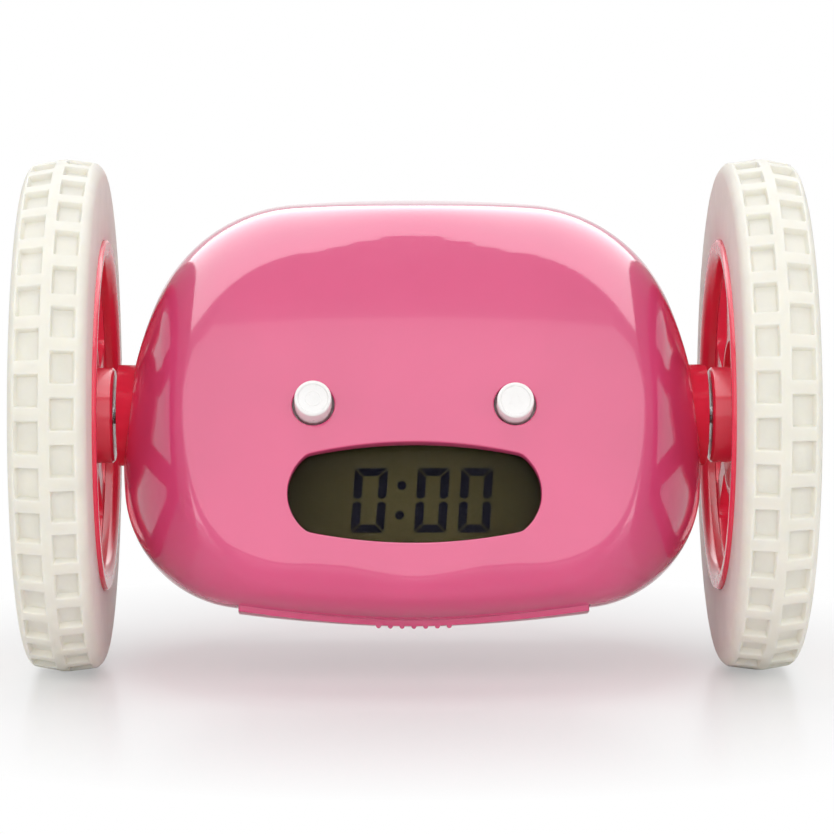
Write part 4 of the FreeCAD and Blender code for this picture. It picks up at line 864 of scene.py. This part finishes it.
def metal(name, base, roughness):
    """Turned or plated metal with fine marks."""
    finish = Finish(name)
    finish.set(Metallic=1.0)
    mapping = finish.node("ShaderNodeMapping", Vector=finish.spot, Scale=(1.0, 12.0, 1.0))
    marks = finish.node("ShaderNodeTexNoise", Scale=250.0, Detail=4.0, Vector=mapping.outputs["Vector"])
    shade = finish.ramp(marks.outputs["Fac"], 0.0, 1.0)
    finish.link(finish.blend(shade, tinted(base, 0.85), tinted(base, 1.1)), "Base Color")
    finish.link(finish.ramp(marks.outputs["Fac"], roughness * 0.7, roughness * 1.3), "Roughness")
    finish.bump(marks.outputs["Fac"], 0.00001)
    return finish.material


def display_glass_finish():
    """Liquid-crystal glass: dull olive with a faint mottle, and painted shade that darkens it towards the
    window's ends.
    """
    base = tuple(colours().display)
    finish = Finish("liquid crystal")
    finish.set(IOR=1.05, Roughness=0.35)
    axes = finish.node("ShaderNodeSeparateXYZ", Vector=finish.spot)
    distance = finish.node("ShaderNodeMath", settings={"operation": "ABSOLUTE"}, _0=axes.outputs["X"])
    # Painted shade: darker towards the ends, where the window's recess shades the glass.
    ends = finish.ramp(distance.outputs[0], 1.0, 0.0, 0.006, 0.021)
    mottle = finish.ramp(finish.noise(500, 4.0), 0.85, 1.1)
    factor = finish.node("ShaderNodeMath", settings={"operation": "MULTIPLY"}, _0=ends, _1=mottle)
    finish.link(finish.blend(factor.outputs[0], tinted(base, 0.55), tinted(base, 1.35)), "Base Color")
    return finish.material


def clear_lens():
    """Clear moulded window with a trace of smoke in it."""
    finish = Finish("clear lens")
    finish.set(Transmission_Weight=1.0, IOR=1.07, Base_Color=(0.95, 0.95, 0.95, 1.0))
    finish.link(finish.ramp(finish.noise(700, 2.0), 0.0, 0.015), "Roughness")
    finish.bump(finish.noise(300, 2.0), 0.0000005)
    return finish.material


def circuit_board():
    """Green laminate with copper runs under the lacquer."""
    finish = Finish("circuit laminate")
    cells = finish.node("ShaderNodeTexVoronoi", settings={"feature": "DISTANCE_TO_EDGE"}, Scale=420.0,
                        Vector=finish.spot)
    run = finish.ramp(cells.outputs["Distance"], 1.0, 0.0, 0.03, 0.06)
    finish.link(finish.blend(run, (0.012, 0.10, 0.035), (0.03, 0.22, 0.07)), "Base Color")
    finish.set(Roughness=0.35)
    finish.bump(run, 0.00002)
    return finish.material


def cell_jacket():
    """Plain dark printed jacket with a lighter band at one end."""
    finish = Finish("cell jacket")
    axes = finish.node("ShaderNodeSeparateXYZ", Vector=finish.spot)
    band = finish.ramp(axes.outputs["X"], 0.0, 1.0, 0.0118, 0.012)
    finish.link(finish.blend(band, (0.015, 0.016, 0.02), (0.62, 0.40, 0.13)), "Base Color")
    finish.link(finish.ramp(finish.noise(900), 0.2, 0.4), "Roughness")
    return finish.material


FINISHES = {}


def finish_named(name):
    """Each finish, made once."""
    if name not in FINISHES:
        c = colours()
        makers = {
            "casing": lambda: plastic("glossy pink", tuple(c.casing), 0.13, coat=0.6, subsurface=0.08),
            # Hub finish: pink plastic deepened to a painted bounce red, for hubs and collars.
            "hub": lambda: plastic("glossy hub red", tuple(c.hub), 0.2, coat=0.25, subsurface=0.1),
            "button": lambda: plastic("white key plastic", tuple(c.button), 0.32),
            "silicone": silicone,
            "display": display_glass_finish,
            "lens": clear_lens,
            "digit": lambda: plastic("digit black", tuple(c.digit), 0.4, index=1.03),
            "black": lambda: plastic("black moulding", (0.012, 0.012, 0.013), 0.45),
            "nylon": lambda: plastic("black nylon", (0.02, 0.02, 0.021), 0.5),
            "rubber": lambda: plastic("striped rubber", (0.07, 0.07, 0.075), 0.7),
            "board": circuit_board,
            "steel": lambda: metal("plated steel", (0.56, 0.56, 0.57), 0.28),
            "brass": lambda: metal("turned brass", (0.72, 0.50, 0.19), 0.25),
            "can": lambda: metal("plated can", (0.62, 0.62, 0.63), 0.32),
            "acetal": lambda: plastic("white acetal", (0.80, 0.80, 0.77), 0.4),
            "cell": cell_jacket,
        }
        FINISHES[name] = makers[name]()
    return FINISHES[name]


SLOT_FINISH = {
    "casing_pink": "casing", "hub_red": "hub", "tyre_silicone": "silicone", "button_white": "button",
    # Collars take the hub finish, and so its painted bounce red.
    "lens_clear": "lens", "display_olive": "display", "frame_black": "black", "collar_pink": "hub",
    "board_green": "board", "switch_dark": "nylon", "strip_rubber": "rubber", "screw_steel": "steel",
    "gear_white": "acetal", "pinion_brass": "brass", "motor_metal": "can", "cell_jacket": "cell",
}


# ------------------------------------------------------------------ operators
class CLOCK_OT_casing(bpy.types.Operator):
    """Both halves of the casing, the battery door and the snooze bar"""
    bl_idname = "clock.casing"
    bl_label = "Casing"

    def execute(self, context):
        s = sizes()
        form = CasingForm()
        outer = skin("case_skin", form, 100, True)
        inner = skin("case_lining", CasingForm(s.wall), 45, True)
        pink = finish_named("casing")
        front = case_half("casing_front", -1, outer, inner)
        carved(front, front_openings() + shared_openings())
        rear = case_half("casing_rear", 1, outer, inner)
        axle = Matrix.Translation(axle_point())
        snooze = prism("snooze_cut", snooze_outline(0.0002), axle, 0.028, SNOOZE_TOP)
        carved(rear, rear_openings() + shared_openings() + screw_wells() + [snooze])
        for half, node in ((front, "front_shell"), (rear, "rear_shell")):
            true_normals(half, form)
            finished(half, "casing", "casing_pink", pink, node)
        self.snooze_bar(outer, form, pink)
        self.door(pink)
        bpy.data.objects.remove(outer)
        bpy.data.objects.remove(inner)
        return {"FINISHED"}

    def snooze_bar(self, outer, form, pink):
        """The snooze bar: the plug of the casing's own skin that its slot leaves."""
        bar = copied(outer, "snooze_key")
        plug = prism("snooze_plug", snooze_outline(), Matrix.Translation(axle_point()), 0.0315, SNOOZE_TOP)
        carved(bar, [plug], "INTERSECT")
        softened(bar, 0.00025, 3, 50)
        true_normals(bar, form)
        finished(bar, "snooze_bar", "casing_pink", pink, "snooze_bar")

    def door(self, pink):
        """The battery door: a thin curved plate with grip ridges and two screw seats."""
        s = sizes()
        axle = Matrix.Translation(axle_point())
        thick, corner, top, below = 0.0018, 0.0006, -0.024, -0.042
        seat_radius, seat_across, seat_depth = 0.0020, 0.0279, -0.0299
        form = CasingForm(0.0, s.door_proud)
        outer = skin("door_skin", form, 70, False)
        inner = skin("door_lining", CasingForm(thick, s.door_proud), 30, False)
        inner.data.flip_normals()
        plate = joined(outer, [inner])
        plate.name = "battery_cover"
        middle = (s.door_front + s.door_back) / 2
        half_depth = (s.door_back - s.door_front) / 2 - s.fit_gap
        outline = box_outline(s.door_half_width - s.fit_gap, half_depth, corner, (0.0, middle))
        carved(plate, [prism("door_block", outline, axle, below, top)], "INTERSECT")
        wells = []
        for side in (-1, 1):
            outline = circle_outline(seat_radius, 48, (side * seat_across, 0.0))
            wells.append(prism("door_well", outline, axle, -0.045, seat_depth))
        carved(plate, wells)
        softened(plate, 0.0002, 2, 60)
        ridges = [self.grip_ridge((index - 3) * 0.002) for index in range(7)]
        seat_on_form(ridges, form)
        joined(plate, ridges)
        smoothed(plate, 35)
        finished(plate, "battery_door", "casing_pink", pink, "battery_door")

    def grip_ridge(self, across):
        """A short rod behind the door's front edge, before it is seated on the door."""
        deselect()
        spot = axle_point(across, sizes().door_front + 0.0029, -0.0341)
        bpy.ops.mesh.primitive_cylinder_add(vertices=24, radius=0.00042, depth=0.005, location=spot,
                                            rotation=(math.radians(90), 0, 0))
        return softened(placed(added("grip_ridge"), Matrix.Identity(4)), 0.00015, 2)


def seat_on_form(objects, form):
    """Press each object's middle down onto a form's underside, following its slope."""
    for obj in objects:
        points = coordinates(obj.data)
        keel = points[:, 2].mean()
        below = points.copy()
        below[:, 2] = keel
        direction = below - (0.0, 0.0, form.waist)
        scale = 1 / form.gauge(below)
        floor = direction * scale[:, None] + (0.0, 0.0, form.waist)
        points[:, 2] += floor[:, 2] - keel
        set_coordinates(obj.data, points)


class CLOCK_OT_tyres(bpy.types.Operator):
    """Both soft tyres with their pocketed treads"""
    bl_idname = "clock.tyres"
    bl_label = "Tyres"

    pitches: IntProperty(name="Pitches", description="Pockets in each row", default=36, min=12, max=60)
    pocket_share: FloatProperty(name="Pocket share", description="Pocket against its pitch", default=0.708)
    pocket_depth: length("Pocket depth", 0.0013, "Below the tread")
    inner_row: row("Inner row", (-0.00465, -0.00065), "Edges of the inner row's pockets from the middle")
    outer_row: row("Outer row", (0.00125, 0.00525), "Edges of the outer row's pockets from the middle")

    def execute(self, context):
        s = sizes()
        model = self.tyre()
        half_pocket = math.pi / self.pitches * self.pocket_share
        for name, side, turn in (("left", -1, s.left_tread_turn), ("right", 1, s.right_tread_turn)):
            tyre = copied(model, f"tyre_{name}", wheel_matrix(side, turn + half_pocket))
            smoothed(tyre, 38)
            finished(tyre, f"{name}_wheel", "tyre_silicone", finish_named("silicone"), f"{name}_tyre")
        bpy.data.objects.remove(model)
        return {"FINISHED"}

    def profile(self, x):
        """Radius of the crowned and rounded tread at x from the tyre's middle."""
        s = sizes()
        half = s.tyre_width / 2
        crown = (half ** 2 + s.tread_drop ** 2) / (2 * s.tread_drop)
        radius = s.wheel_radius - crown + math.sqrt(crown ** 2 - x ** 2)
        past = abs(x) - (half - s.tread_corner)
        if past > 0:
            radius -= s.tread_corner - math.sqrt(max(s.tread_corner ** 2 - past ** 2, 0.0))
        return radius

    def tyre(self):
        """A tyre: a spun section whose tread is sunk into pockets between bars."""
        s = sizes()
        half = s.tyre_width / 2
        middle = s.tyre_inset + half
        corner = half - s.tread_corner
        rounds = [s.tread_corner * math.sin(math.radians(step)) for step in (21, 38, 52, 65, 78, 90)]
        inner_arc = [-corner - reach for reach in reversed(rounds)]
        outer_arc = [corner + reach for reach in rounds[1:]]
        sidewall = s.rim_radius + 0.006
        section = [(s.rim_radius, -half), (sidewall, -half)]
        section += [(self.profile(x), x) for x in (*inner_arc, *self.inner_row, *self.outer_row, *outer_arc)]
        section += [(sidewall, half), (s.rim_radius, half)]
        obj = spun("tyre", section, middle, self.pitches * 4)
        self.space_bars(obj)
        in_edit(obj, "FACE")
        select_where(obj, "faces", self.in_pocket)
        bpy.ops.mesh.inset(thickness=0.00025, depth=-self.pocket_depth, use_boundary=True,
                           use_even_offset=True)
        deselect()
        return softened(obj, 0.00028, 2, 28)

    def space_bars(self, obj):
        """Move the spun sections so that bars are narrower than pockets."""
        pitch = 2 * math.pi / self.pitches
        places = (0.0, self.pocket_share - 0.5, 0.5, self.pocket_share)
        for vert in obj.data.vertices:
            y, z = vert.co.y, vert.co.z - sizes().axle_height
            radius = math.hypot(y, z)
            whole, part = divmod(round(math.atan2(y, z) / pitch * 4), 4)
            angle = (whole + places[part]) * pitch
            vert.co.y = radius * math.sin(angle)
            vert.co.z = radius * math.cos(angle) + sizes().axle_height
        obj.data.update()

    def place_of(self, spot):
        """A point's x from the tyre's middle, its radius, and its angle as a share of one pitch."""
        s = sizes()
        y, z = spot.y, spot.z - s.axle_height
        share = math.atan2(y, z) / (2 * math.pi / self.pitches)
        return spot.x - s.tyre_inset - s.tyre_width / 2, math.hypot(y, z), share - math.floor(share)

    def in_pocket(self, spot, normal):
        """True on a tread face that a pocket takes."""
        x, radius, share = self.place_of(spot)
        if radius < sizes().wheel_radius - 0.003:
            return False
        if self.inner_row[0] < x < self.inner_row[1]:
            return share < self.pocket_share
        return self.outer_row[0] < x < self.outer_row[1] and not self.pocket_share - 0.5 < share < 0.5


class CLOCK_OT_hubs(bpy.types.Operator):
    """Both spoked hubs"""
    bl_idname = "clock.hubs"
    bl_label = "Hubs"

    def execute(self, context):
        s = sizes()
        model = self.hub()
        for name, side in (("left", -1), ("right", 1)):
            hub = copied(model, f"hub_{name}", wheel_matrix(side, -side * s.spoke_turn))
            smoothed(hub, 40)
            finished(hub, f"{name}_wheel", "hub_red", finish_named("hub"), f"{name}_hub")
        bpy.data.objects.remove(model)
        return {"FINISHED"}

    def hub(self):
        """A hub: a spun section with six windows cut between its spokes."""
        s = sizes()
        rim, soft, hair, corner = s.rim_radius, 0.0004, 0.0003, 0.0015
        lip, end = s.tyre_inset - s.rim_lip, s.tyre_inset + s.tyre_width
        face = lip + 0.0026
        back, sink = face + 0.0030, face + s.well_depth
        inner = rim - 0.003
        outer = inner + 0.0008
        bore, boss, boss_start, boss_end = 0.0015, 0.0083, 0.0518, 0.0634
        cap, seat, cap_soft = 0.0064, 0.0600, 0.0002
        section = [(bore, boss_start), (boss - soft, boss_start), (boss, boss_start + soft), (boss, sink),
                   (s.well_radius, sink), (s.well_radius, face), (inner, face)]
        for step in range(7):
            turn = math.pi / 2 * step / 6
            section.append((inner + corner * (1 - math.cos(turn)), lip + corner * (1 - math.sin(turn))))
        section += [(rim - hair, lip), (rim, lip + hair), (rim, end - hair), (rim - hair, end), (outer, end),
                    (outer, back), (boss, back), (boss, boss_end - cap_soft), (boss - cap_soft, boss_end),
                    (cap, boss_end), (cap, seat), (bore, seat)]
        obj = carved(spun("hub", section, 0.0, 180), self.windows())
        return softened(obj, 0.0004, 3, 40)

    def windows(self):
        """Cutters for the windows between spokes: arcs at both ends and rounded corners."""
        base = Matrix.Translation(axle_point()) @ Matrix.Rotation(math.radians(90), 4, "Y")
        cutters = []
        for index in range(6):
            turn = Matrix.Rotation(math.radians(60 * index + 90), 4, "Z")
            cutters.append(prism("window_cut", (spoke_window(), None), base @ turn, 0.0530, 0.0610))
        return cutters


def arc_points(radius, start, end, count):
    """Points of an arc about the origin."""
    return [radius * np.array((math.cos(turn), math.sin(turn))) for turn in np.linspace(start, end, count)]


def spoke_window(outer=0.026, inner=0.0140, half_spoke=0.0025, corner=0.0018, half_turn=math.radians(30)):
    """Outline of a window between two spokes, centred on the x axis."""
    half = []
    for limit, sign in ((inner, 1), (outer, -1)):
        centre_radius = limit + sign * corner
        offset = half_spoke + corner
        lean = half_turn - math.asin(offset / centre_radius)
        centre = np.array((math.cos(lean), math.sin(lean))) * centre_radius
        along = math.pi + lean if sign > 0 else lean
        aside = half_turn + math.pi / 2
        if sign > 0:
            angles = np.linspace(along, aside, 9)
        else:
            angles = np.linspace(aside, along, 9)
        half.append([centre + corner * np.array((math.cos(a), math.sin(a))) for a in angles])
    inner_corner, outer_corner = half
    upper = inner_corner + outer_corner
    first, last = upper[0], upper[-1]
    outer_angle = math.atan2(last[1], last[0])
    inner_angle = math.atan2(first[1], first[0])
    outer_arc = arc_points(outer, outer_angle, -outer_angle, 26)
    inner_arc = arc_points(inner, -inner_angle, inner_angle, 14)
    lower = [spot * (1, -1) for spot in reversed(upper)]
    return np.array(upper[:-1] + outer_arc[:-1] + lower[:-1] + inner_arc[:-1])


class CLOCK_OT_buttons(bpy.types.Operator):
    """The face buttons with their faint symbols, and the two rear keys"""
    bl_idname = "clock.buttons"
    bl_label = "Buttons"

    def execute(self, context):
        s = sizes()
        for side, name, rise in ((-1, "left", s.left_rise), (1, "right", s.right_rise)):
            spot = Vector((side * s.button_across, s.button_up, 0))
            cap = self.cap(f"{name}_cap", s.button_radius, rise)
            joined(cap, self.clock_symbol(rise) if side < 0 else self.bell_symbol(rise))
            placed(cap, face_matrix() @ Matrix.Translation(spot))
            smoothed(cap, 35)
            finished(cap, f"{name}_button", "button_white", finish_named("button"), f"{name}_button")
        for side, name, node in ((-1, "hour_cap", "minute_button"), (1, "minute_cap", "hour_button")):
            cap = self.cap(name, KEY_RADIUS, 0.001)
            placed(cap, rear_matrix() @ Matrix.Translation((side * KEY_ACROSS, KEY_UP, 0)))
            smoothed(cap, 35)
            finished(cap, node, "button_white", finish_named("button"), node)
        return {"FINISHED"}

    def cap(self, name, radius, rise):
        """A round cap with a dished end, a rounded rim and its flange."""
        deselect()
        stem = 0.0036
        bpy.ops.mesh.primitive_cylinder_add(vertices=96, radius=radius, depth=rise + stem,
                                            location=(0, 0, (rise - stem) / 2))
        obj = added(name)
        placed(obj, Matrix.Identity(4))
        in_edit(obj, "FACE")
        select_where(obj, "faces", lambda spot, normal: normal.z > 0.9)
        bpy.ops.mesh.inset(thickness=radius * 0.17)
        bpy.ops.mesh.inset(thickness=radius * 0.06, depth=-0.0002)
        bpy.ops.mesh.inset(thickness=radius * 0.3, depth=-0.00006)
        deselect()
        softened(obj, 0.0003, 4, 50)
        bpy.ops.mesh.primitive_cylinder_add(vertices=96, radius=radius + 0.00075, depth=0.0008,
                                            location=(0, 0, -0.0033))
        flange = added("flange")
        placed(flange, Matrix.Identity(4))
        softened(flange, 0.00015, 2)
        return joined(obj, [flange])

    def stroke(self, name, start, end, height, width=SYMBOL_STROKE):
        """A thin raised bar on a cap's dished end."""
        deselect()
        span = Vector(end) - Vector(start)
        bpy.ops.mesh.primitive_cube_add(size=1.0)
        bar = added(name)
        bar.data.transform(Matrix.Diagonal((span.length, width, 0.00008, 1)))
        angle = math.atan2(span.y, span.x)
        middle = (Vector(start) + Vector(end)) / 2
        bar.data.transform(Matrix.Translation((middle.x, middle.y, height)) @ Matrix.Rotation(angle, 4, "Z"))
        return softened(bar, 0.00002, 1)

    def ring(self, radius, height):
        """A thin raised ring on a cap's dished end."""
        deselect()
        bpy.ops.mesh.primitive_torus_add(major_radius=radius, minor_radius=0.00009, major_segments=64,
                                         minor_segments=8, location=(0, 0, height))
        return placed(added("symbol_ring"), Matrix.Identity(4))

    def clock_symbol(self, rise):
        """A plain clock face: a ring and two hands."""
        height = rise - SYMBOL_DROP
        return [self.ring(0.00125, height), self.stroke("hand", (0, 0), (0, 0.0009), height),
                self.stroke("hand", (0, 0), (0.0006, -0.0003), height)]

    def bell_symbol(self, rise):
        """A plain bell: an outline of strokes over a clapper."""
        height = rise - SYMBOL_DROP
        right = ((0.0006, 0.0006), (0.0007, -0.0001), (0.0011, -0.0006))
        left = tuple((-x, y) for x, y in reversed(right))
        corners = (*left, (0.0, 0.0011), *right, left[0])
        strokes = [self.stroke("bell", start, end, height) for start, end in zip(corners, corners[1:])]
        return strokes + [self.stroke("clapper", (-0.0003, -0.00095), (0.0003, -0.00095), height, 0.0002)]


class CLOCK_OT_display(bpy.types.Operator):
    """The lens, the liquid-crystal glass and its digits"""
    bl_idname = "clock.display"
    bl_label = "Display"

    slant: degrees("Slant", 4, "Lean of the digits")
    stroke: length("Stroke", 0.00148, "Width of a segment")
    gap: length("Gap", 0.00008, "Half the gap between segments")

    def execute(self, context):
        s = sizes()
        spots, normals = window_outline(0.0001)
        flange = 0.0022
        rings = []
        for height, shrink in ((-0.0041, -flange), (-0.0029, -flange), (-0.0029, 0.0), (-0.00195, 0.0),
                               (-0.00178, 0.00008), (-0.0017, 0.00025)):
            rings.append([(*(spot - normal * shrink), height) for spot, normal in zip(spots, normals)])
        lens = ring_solid("display_window", rings, face_matrix())
        smoothed(lens, 35)
        finished(lens, "casing", "lens_clear", finish_named("lens"), "display_lens")
        glass_outline = box_outline(0.0232, 0.0097, 0.0003, (0.0, s.window_up))
        glass = prism("crystal_glass", glass_outline, face_matrix(), -0.0066, DIGIT_HEIGHTS[0])
        smoothed(glass, 35)
        finished(glass, "casing", "display_olive", finish_named("display"), "display_glass")
        self.digits()
        return {"FINISHED"}

    def digits(self):
        """Three zeros and a colon, laid on the glass."""
        pieces = []
        height, bottom = 0.01115, -0.0266
        for left, right in ((-0.01069, -0.00432), (-0.00015, 0.00602), (0.00712, 0.01329)):
            for corners in self.zero(right - left, height):
                pieces.append(self.segment(corners, left, bottom))
        for x, y in ((-0.00209, -0.01848), (-0.00249, -0.0236)):
            dot = circle_outline(0.00078, 36, (x, y))
            pieces.append(prism("colon_dot", dot, face_matrix(), *DIGIT_HEIGHTS))
        digits = joined(pieces[0], pieces[1:])
        digits.name = digits.data.name = "time_digits"
        finished(digits, "casing", "display_olive", finish_named("digit"))

    def zero(self, width, height):
        """Corner points of a zero's six segments, its lower left at the origin before it leans."""
        t, g, h = self.stroke, self.gap, height
        lean = h * math.tan(self.slant)
        w = width - lean
        mid = h / 2
        top = ((g * 2, h), (w - g * 2, h), (w - t - g, h - t + g), (t + g, h - t + g))
        side = ((0, h - g * 2), (t, h - t - g * 2), (t, mid + t * 0.35), (t * 0.5, mid + t * 0.12),
                (0, mid + t * 0.4))
        shapes = [top, side]
        shapes.append(tuple((w - x, y) for x, y in side))
        shapes += [tuple((x, h - y) for x, y in shape) for shape in tuple(shapes)]
        return [[(x + y * math.tan(self.slant), y) for x, y in shape] for shape in shapes]

    def segment(self, corners, left, bottom):
        """A thin dark plate on the glass."""
        spots = [Vector((x + left, y + bottom)) for x, y in corners]
        area = sum(spots[i - 1].x * spots[i].y - spots[i].x * spots[i - 1].y for i in range(len(spots)))
        spots = spots if area > 0 else spots[::-1]
        return prism("segment", (spots, None), face_matrix(), *DIGIT_HEIGHTS)


class CLOCK_OT_fittings(bpy.types.Operator):
    """Smooth, softened copies of the small solids that show"""
    bl_idname = "clock.fittings"
    bl_label = "Fittings"

    edge: length("Edge", 0.0002, "Rounding of the small pieces")

    def execute(self, context):
        for side in ("left", "right"):
            self.copy(f"{side}_gearbox_cover", f"{side}_collar", "casing", "collar_pink", self.edge)
            self.copy(f"{side}_hub_cap", f"{side}_cap", f"{side}_wheel", "hub_red", self.edge)
            self.copy(f"{side}_axle", f"{side}_spindle", f"{side}_wheel", "screw_steel", self.edge / 4)
        self.copy("alarm_switch", "alarm_slide", "alarm_switch", "button_white", self.edge)
        self.copy("casing_screws", "case_screws", "casing", "screw_steel", self.edge / 2)
        self.copy("battery_door_screws", "cover_screws", "battery_door", "screw_steel", self.edge / 2)
        for name, obj in frame["nodes"].items():
            self.dress(name, obj)
        return {"FINISHED"}

    def copy(self, node, name, body, slot, width):
        """A merged copy of a solid with rounded edges."""
        obj = copied(frame["nodes"][node], name)
        mended(obj, outward=False)
        in_edit(obj)
        bpy.ops.mesh.select_all(action="SELECT")
        bpy.ops.mesh.dissolve_limited(angle_limit=math.radians(1))
        deselect()
        softened(obj, width, 2, 40)
        smoothed(obj, 35)
        finished(obj, body, slot, finish_named(SLOT_FINISH[slot]), node)

    def dress(self, name, obj):
        """A solid's own material slots take its finish."""
        slot = next(entry["material_slot"] for entry in frame["record"]["subparts"] if entry["node"] == name)
        material = finish_named(SLOT_FINISH[slot])
        if not obj.data.materials:
            obj.data.materials.append(material)
        for index in range(len(obj.data.materials)):
            obj.data.materials[index] = material


class CLOCK_OT_studio(bpy.types.Operator):
    """Floor, lamps, world and camera"""
    bl_idname = "clock.studio"
    bl_label = "Studio"

    focal: FloatProperty(name="Focal length", description="In millimetres on a 36 mm sensor", default=152.1)
    distance: length("Distance", 0.615, "Camera to the axle")
    elevation: degrees("Elevation", 5.6, "Camera above the axle")
    yaw: degrees("Yaw", -0.75, "Camera to the right of straight ahead")

    def execute(self, context):
        self.camera(context)
        self.floor()
        self.world(context.scene)
        middle = axle_point()
        for name, place, size, power in (
                ("front softbox", (0.0, -1.11, 0.50), (1.6, 0.9), 6.4),
                ("left softbox", (-0.62, -0.42, 0.22), (0.25, 0.42), 0.7),
                ("right softbox", (0.62, -0.42, 0.22), (0.25, 0.42), 0.7)):
            self.lamp(name, Vector(place), middle, size, power)
        top = self.lamp("top softbox", Vector((0.0, -0.05, 0.85)), middle, (0.9, 0.6), 2.2)
        top.visible_glossy = False
        ceiling = Vector((0.0, 0.42, 0.95))
        card = self.lamp("reflected ceiling", ceiling, ceiling - Vector((0, 0, 1)), (2.4, 2.36), 62.0)
        card.visible_diffuse = False
        context.scene.view_settings.view_transform = "Standard"
        return {"FINISHED"}

    def camera(self, context):
        """The camera, aimed a little beside and below the axle's middle."""
        data = bpy.data.cameras.new("camera")
        camera = bpy.data.objects.new("camera", data)
        context.scene.collection.objects.link(camera)
        data.lens = self.focal
        data.sensor_width = 36.0
        data.clip_start, data.clip_end = 0.05, 20.0
        offset = Vector((math.sin(self.yaw) * math.cos(self.elevation),
                         -math.cos(self.yaw) * math.cos(self.elevation), math.sin(self.elevation)))
        aim = axle_point(0.0008, 0.0, -0.00035)
        camera.location = aim + offset * self.distance
        camera.rotation_euler = (-offset).to_track_quat("-Z", "Y").to_euler()
        context.scene.camera = camera

    def lamp(self, name, place, aim, size, power):
        """A white rectangular softbox aimed at the clock."""
        data = bpy.data.lights.new(name, "AREA")
        data.shape = "RECTANGLE"
        data.size, data.size_y = size
        data.energy = power
        lamp = bpy.data.objects.new(name, data)
        bpy.context.scene.collection.objects.link(lamp)
        lamp.location = place
        lamp.rotation_euler = (aim - place).to_track_quat("-Z", "Y").to_euler()
        return lamp

    def floor(self):
        """A wide pale glossy floor that fades into white away from the clock."""
        deselect()
        bpy.ops.mesh.primitive_plane_add(size=8.0, location=(0, 0, 0))
        plane = added("studio_floor")
        finish = Finish("studio floor")
        finish.set(Base_Color=(0.90, 0.90, 0.90, 1.0), Roughness=0.22, IOR=1.35)
        tree = finish.tree
        output = tree.nodes["Material Output"]
        glow = finish.node("ShaderNodeEmission", Strength=1.0, Color=(1, 1, 1, 1))
        radius = finish.node("ShaderNodeVectorMath", settings={"operation": "LENGTH"}, _0=finish.spot)
        far = finish.ramp(radius.outputs["Value"], 0.22, 1.0, 0.045, 0.115)
        path = tree.nodes.new("ShaderNodeLightPath")
        seen = finish.node("ShaderNodeMath", settings={"operation": "MULTIPLY"}, _0=far,
                           _1=path.outputs["Is Camera Ray"])
        mix = tree.nodes.new("ShaderNodeMixShader")
        tree.links.new(seen.outputs[0], mix.inputs[0])
        tree.links.new(finish.shader.outputs[0], mix.inputs[1])
        tree.links.new(glow.outputs[0], mix.inputs[2])
        tree.links.new(mix.outputs[0], output.inputs[0])
        plane.data.materials.append(finish.material)

    def world(self, scene):
        """Soft ambient light, seen as plain white behind the clock and in its gloss and glass."""
        world = bpy.data.worlds.new("studio")
        scene.world = world
        world.use_nodes = True
        tree = world.node_tree
        soft, white = tree.nodes["Background"], tree.nodes.new("ShaderNodeBackground")
        for background, strength in ((soft, 0.35), (white, 1.0)):
            background.inputs["Color"].default_value = (1, 1, 1, 1)
            background.inputs["Strength"].default_value = strength
        path = tree.nodes.new("ShaderNodeLightPath")
        seen = path.outputs["Is Camera Ray"]
        for ray in ("Is Transmission Ray", "Is Glossy Ray"):
            either = tree.nodes.new("ShaderNodeMath")
            either.operation = "MAXIMUM"
            tree.links.new(seen, either.inputs[0])
            tree.links.new(path.outputs[ray], either.inputs[1])
            seen = either.outputs[0]
        mix = tree.nodes.new("ShaderNodeMixShader")
        tree.links.new(seen, mix.inputs[0])
        tree.links.new(soft.outputs[0], mix.inputs[1])
        tree.links.new(white.outputs[0], mix.inputs[2])
        tree.links.new(mix.outputs[0], tree.nodes["World Output"].inputs[0])


OPERATORS = (CLOCK_OT_casing, CLOCK_OT_tyres, CLOCK_OT_hubs, CLOCK_OT_buttons, CLOCK_OT_display,
             CLOCK_OT_fittings, CLOCK_OT_studio)


class CLOCK_PT_panel(bpy.types.Panel):
    """Lists the clock's pieces"""
    bl_idname = "CLOCK_PT_panel"
    bl_label = "Runaway Alarm Clock"
    bl_space_type = "VIEW_3D"
    bl_region_type = "UI"
    bl_category = "Clock"

    def draw(self, context):
        column = self.layout.column()
        for operator in OPERATORS:
            column.operator(operator.bl_idname)


CLASSES = (ClockSizes, ClockColours, *OPERATORS, CLOCK_PT_panel)


def register():
    for item in CLASSES:
        bpy.utils.register_class(item)
    bpy.types.Scene.clock_sizes = PointerProperty(type=ClockSizes)
    bpy.types.Scene.clock_colours = PointerProperty(type=ClockColours)


def unregister():
    del bpy.types.Scene.clock_colours
    del bpy.types.Scene.clock_sizes
    for item in reversed(CLASSES):
        bpy.utils.unregister_class(item)


def main():
    """Dress the clock and set the studio."""
    register()
    for name in ("casing", "tyres", "hubs", "buttons", "display", "fittings", "studio"):
        getattr(bpy.ops.clock, name)()


if __name__ == "__main__":
    main()
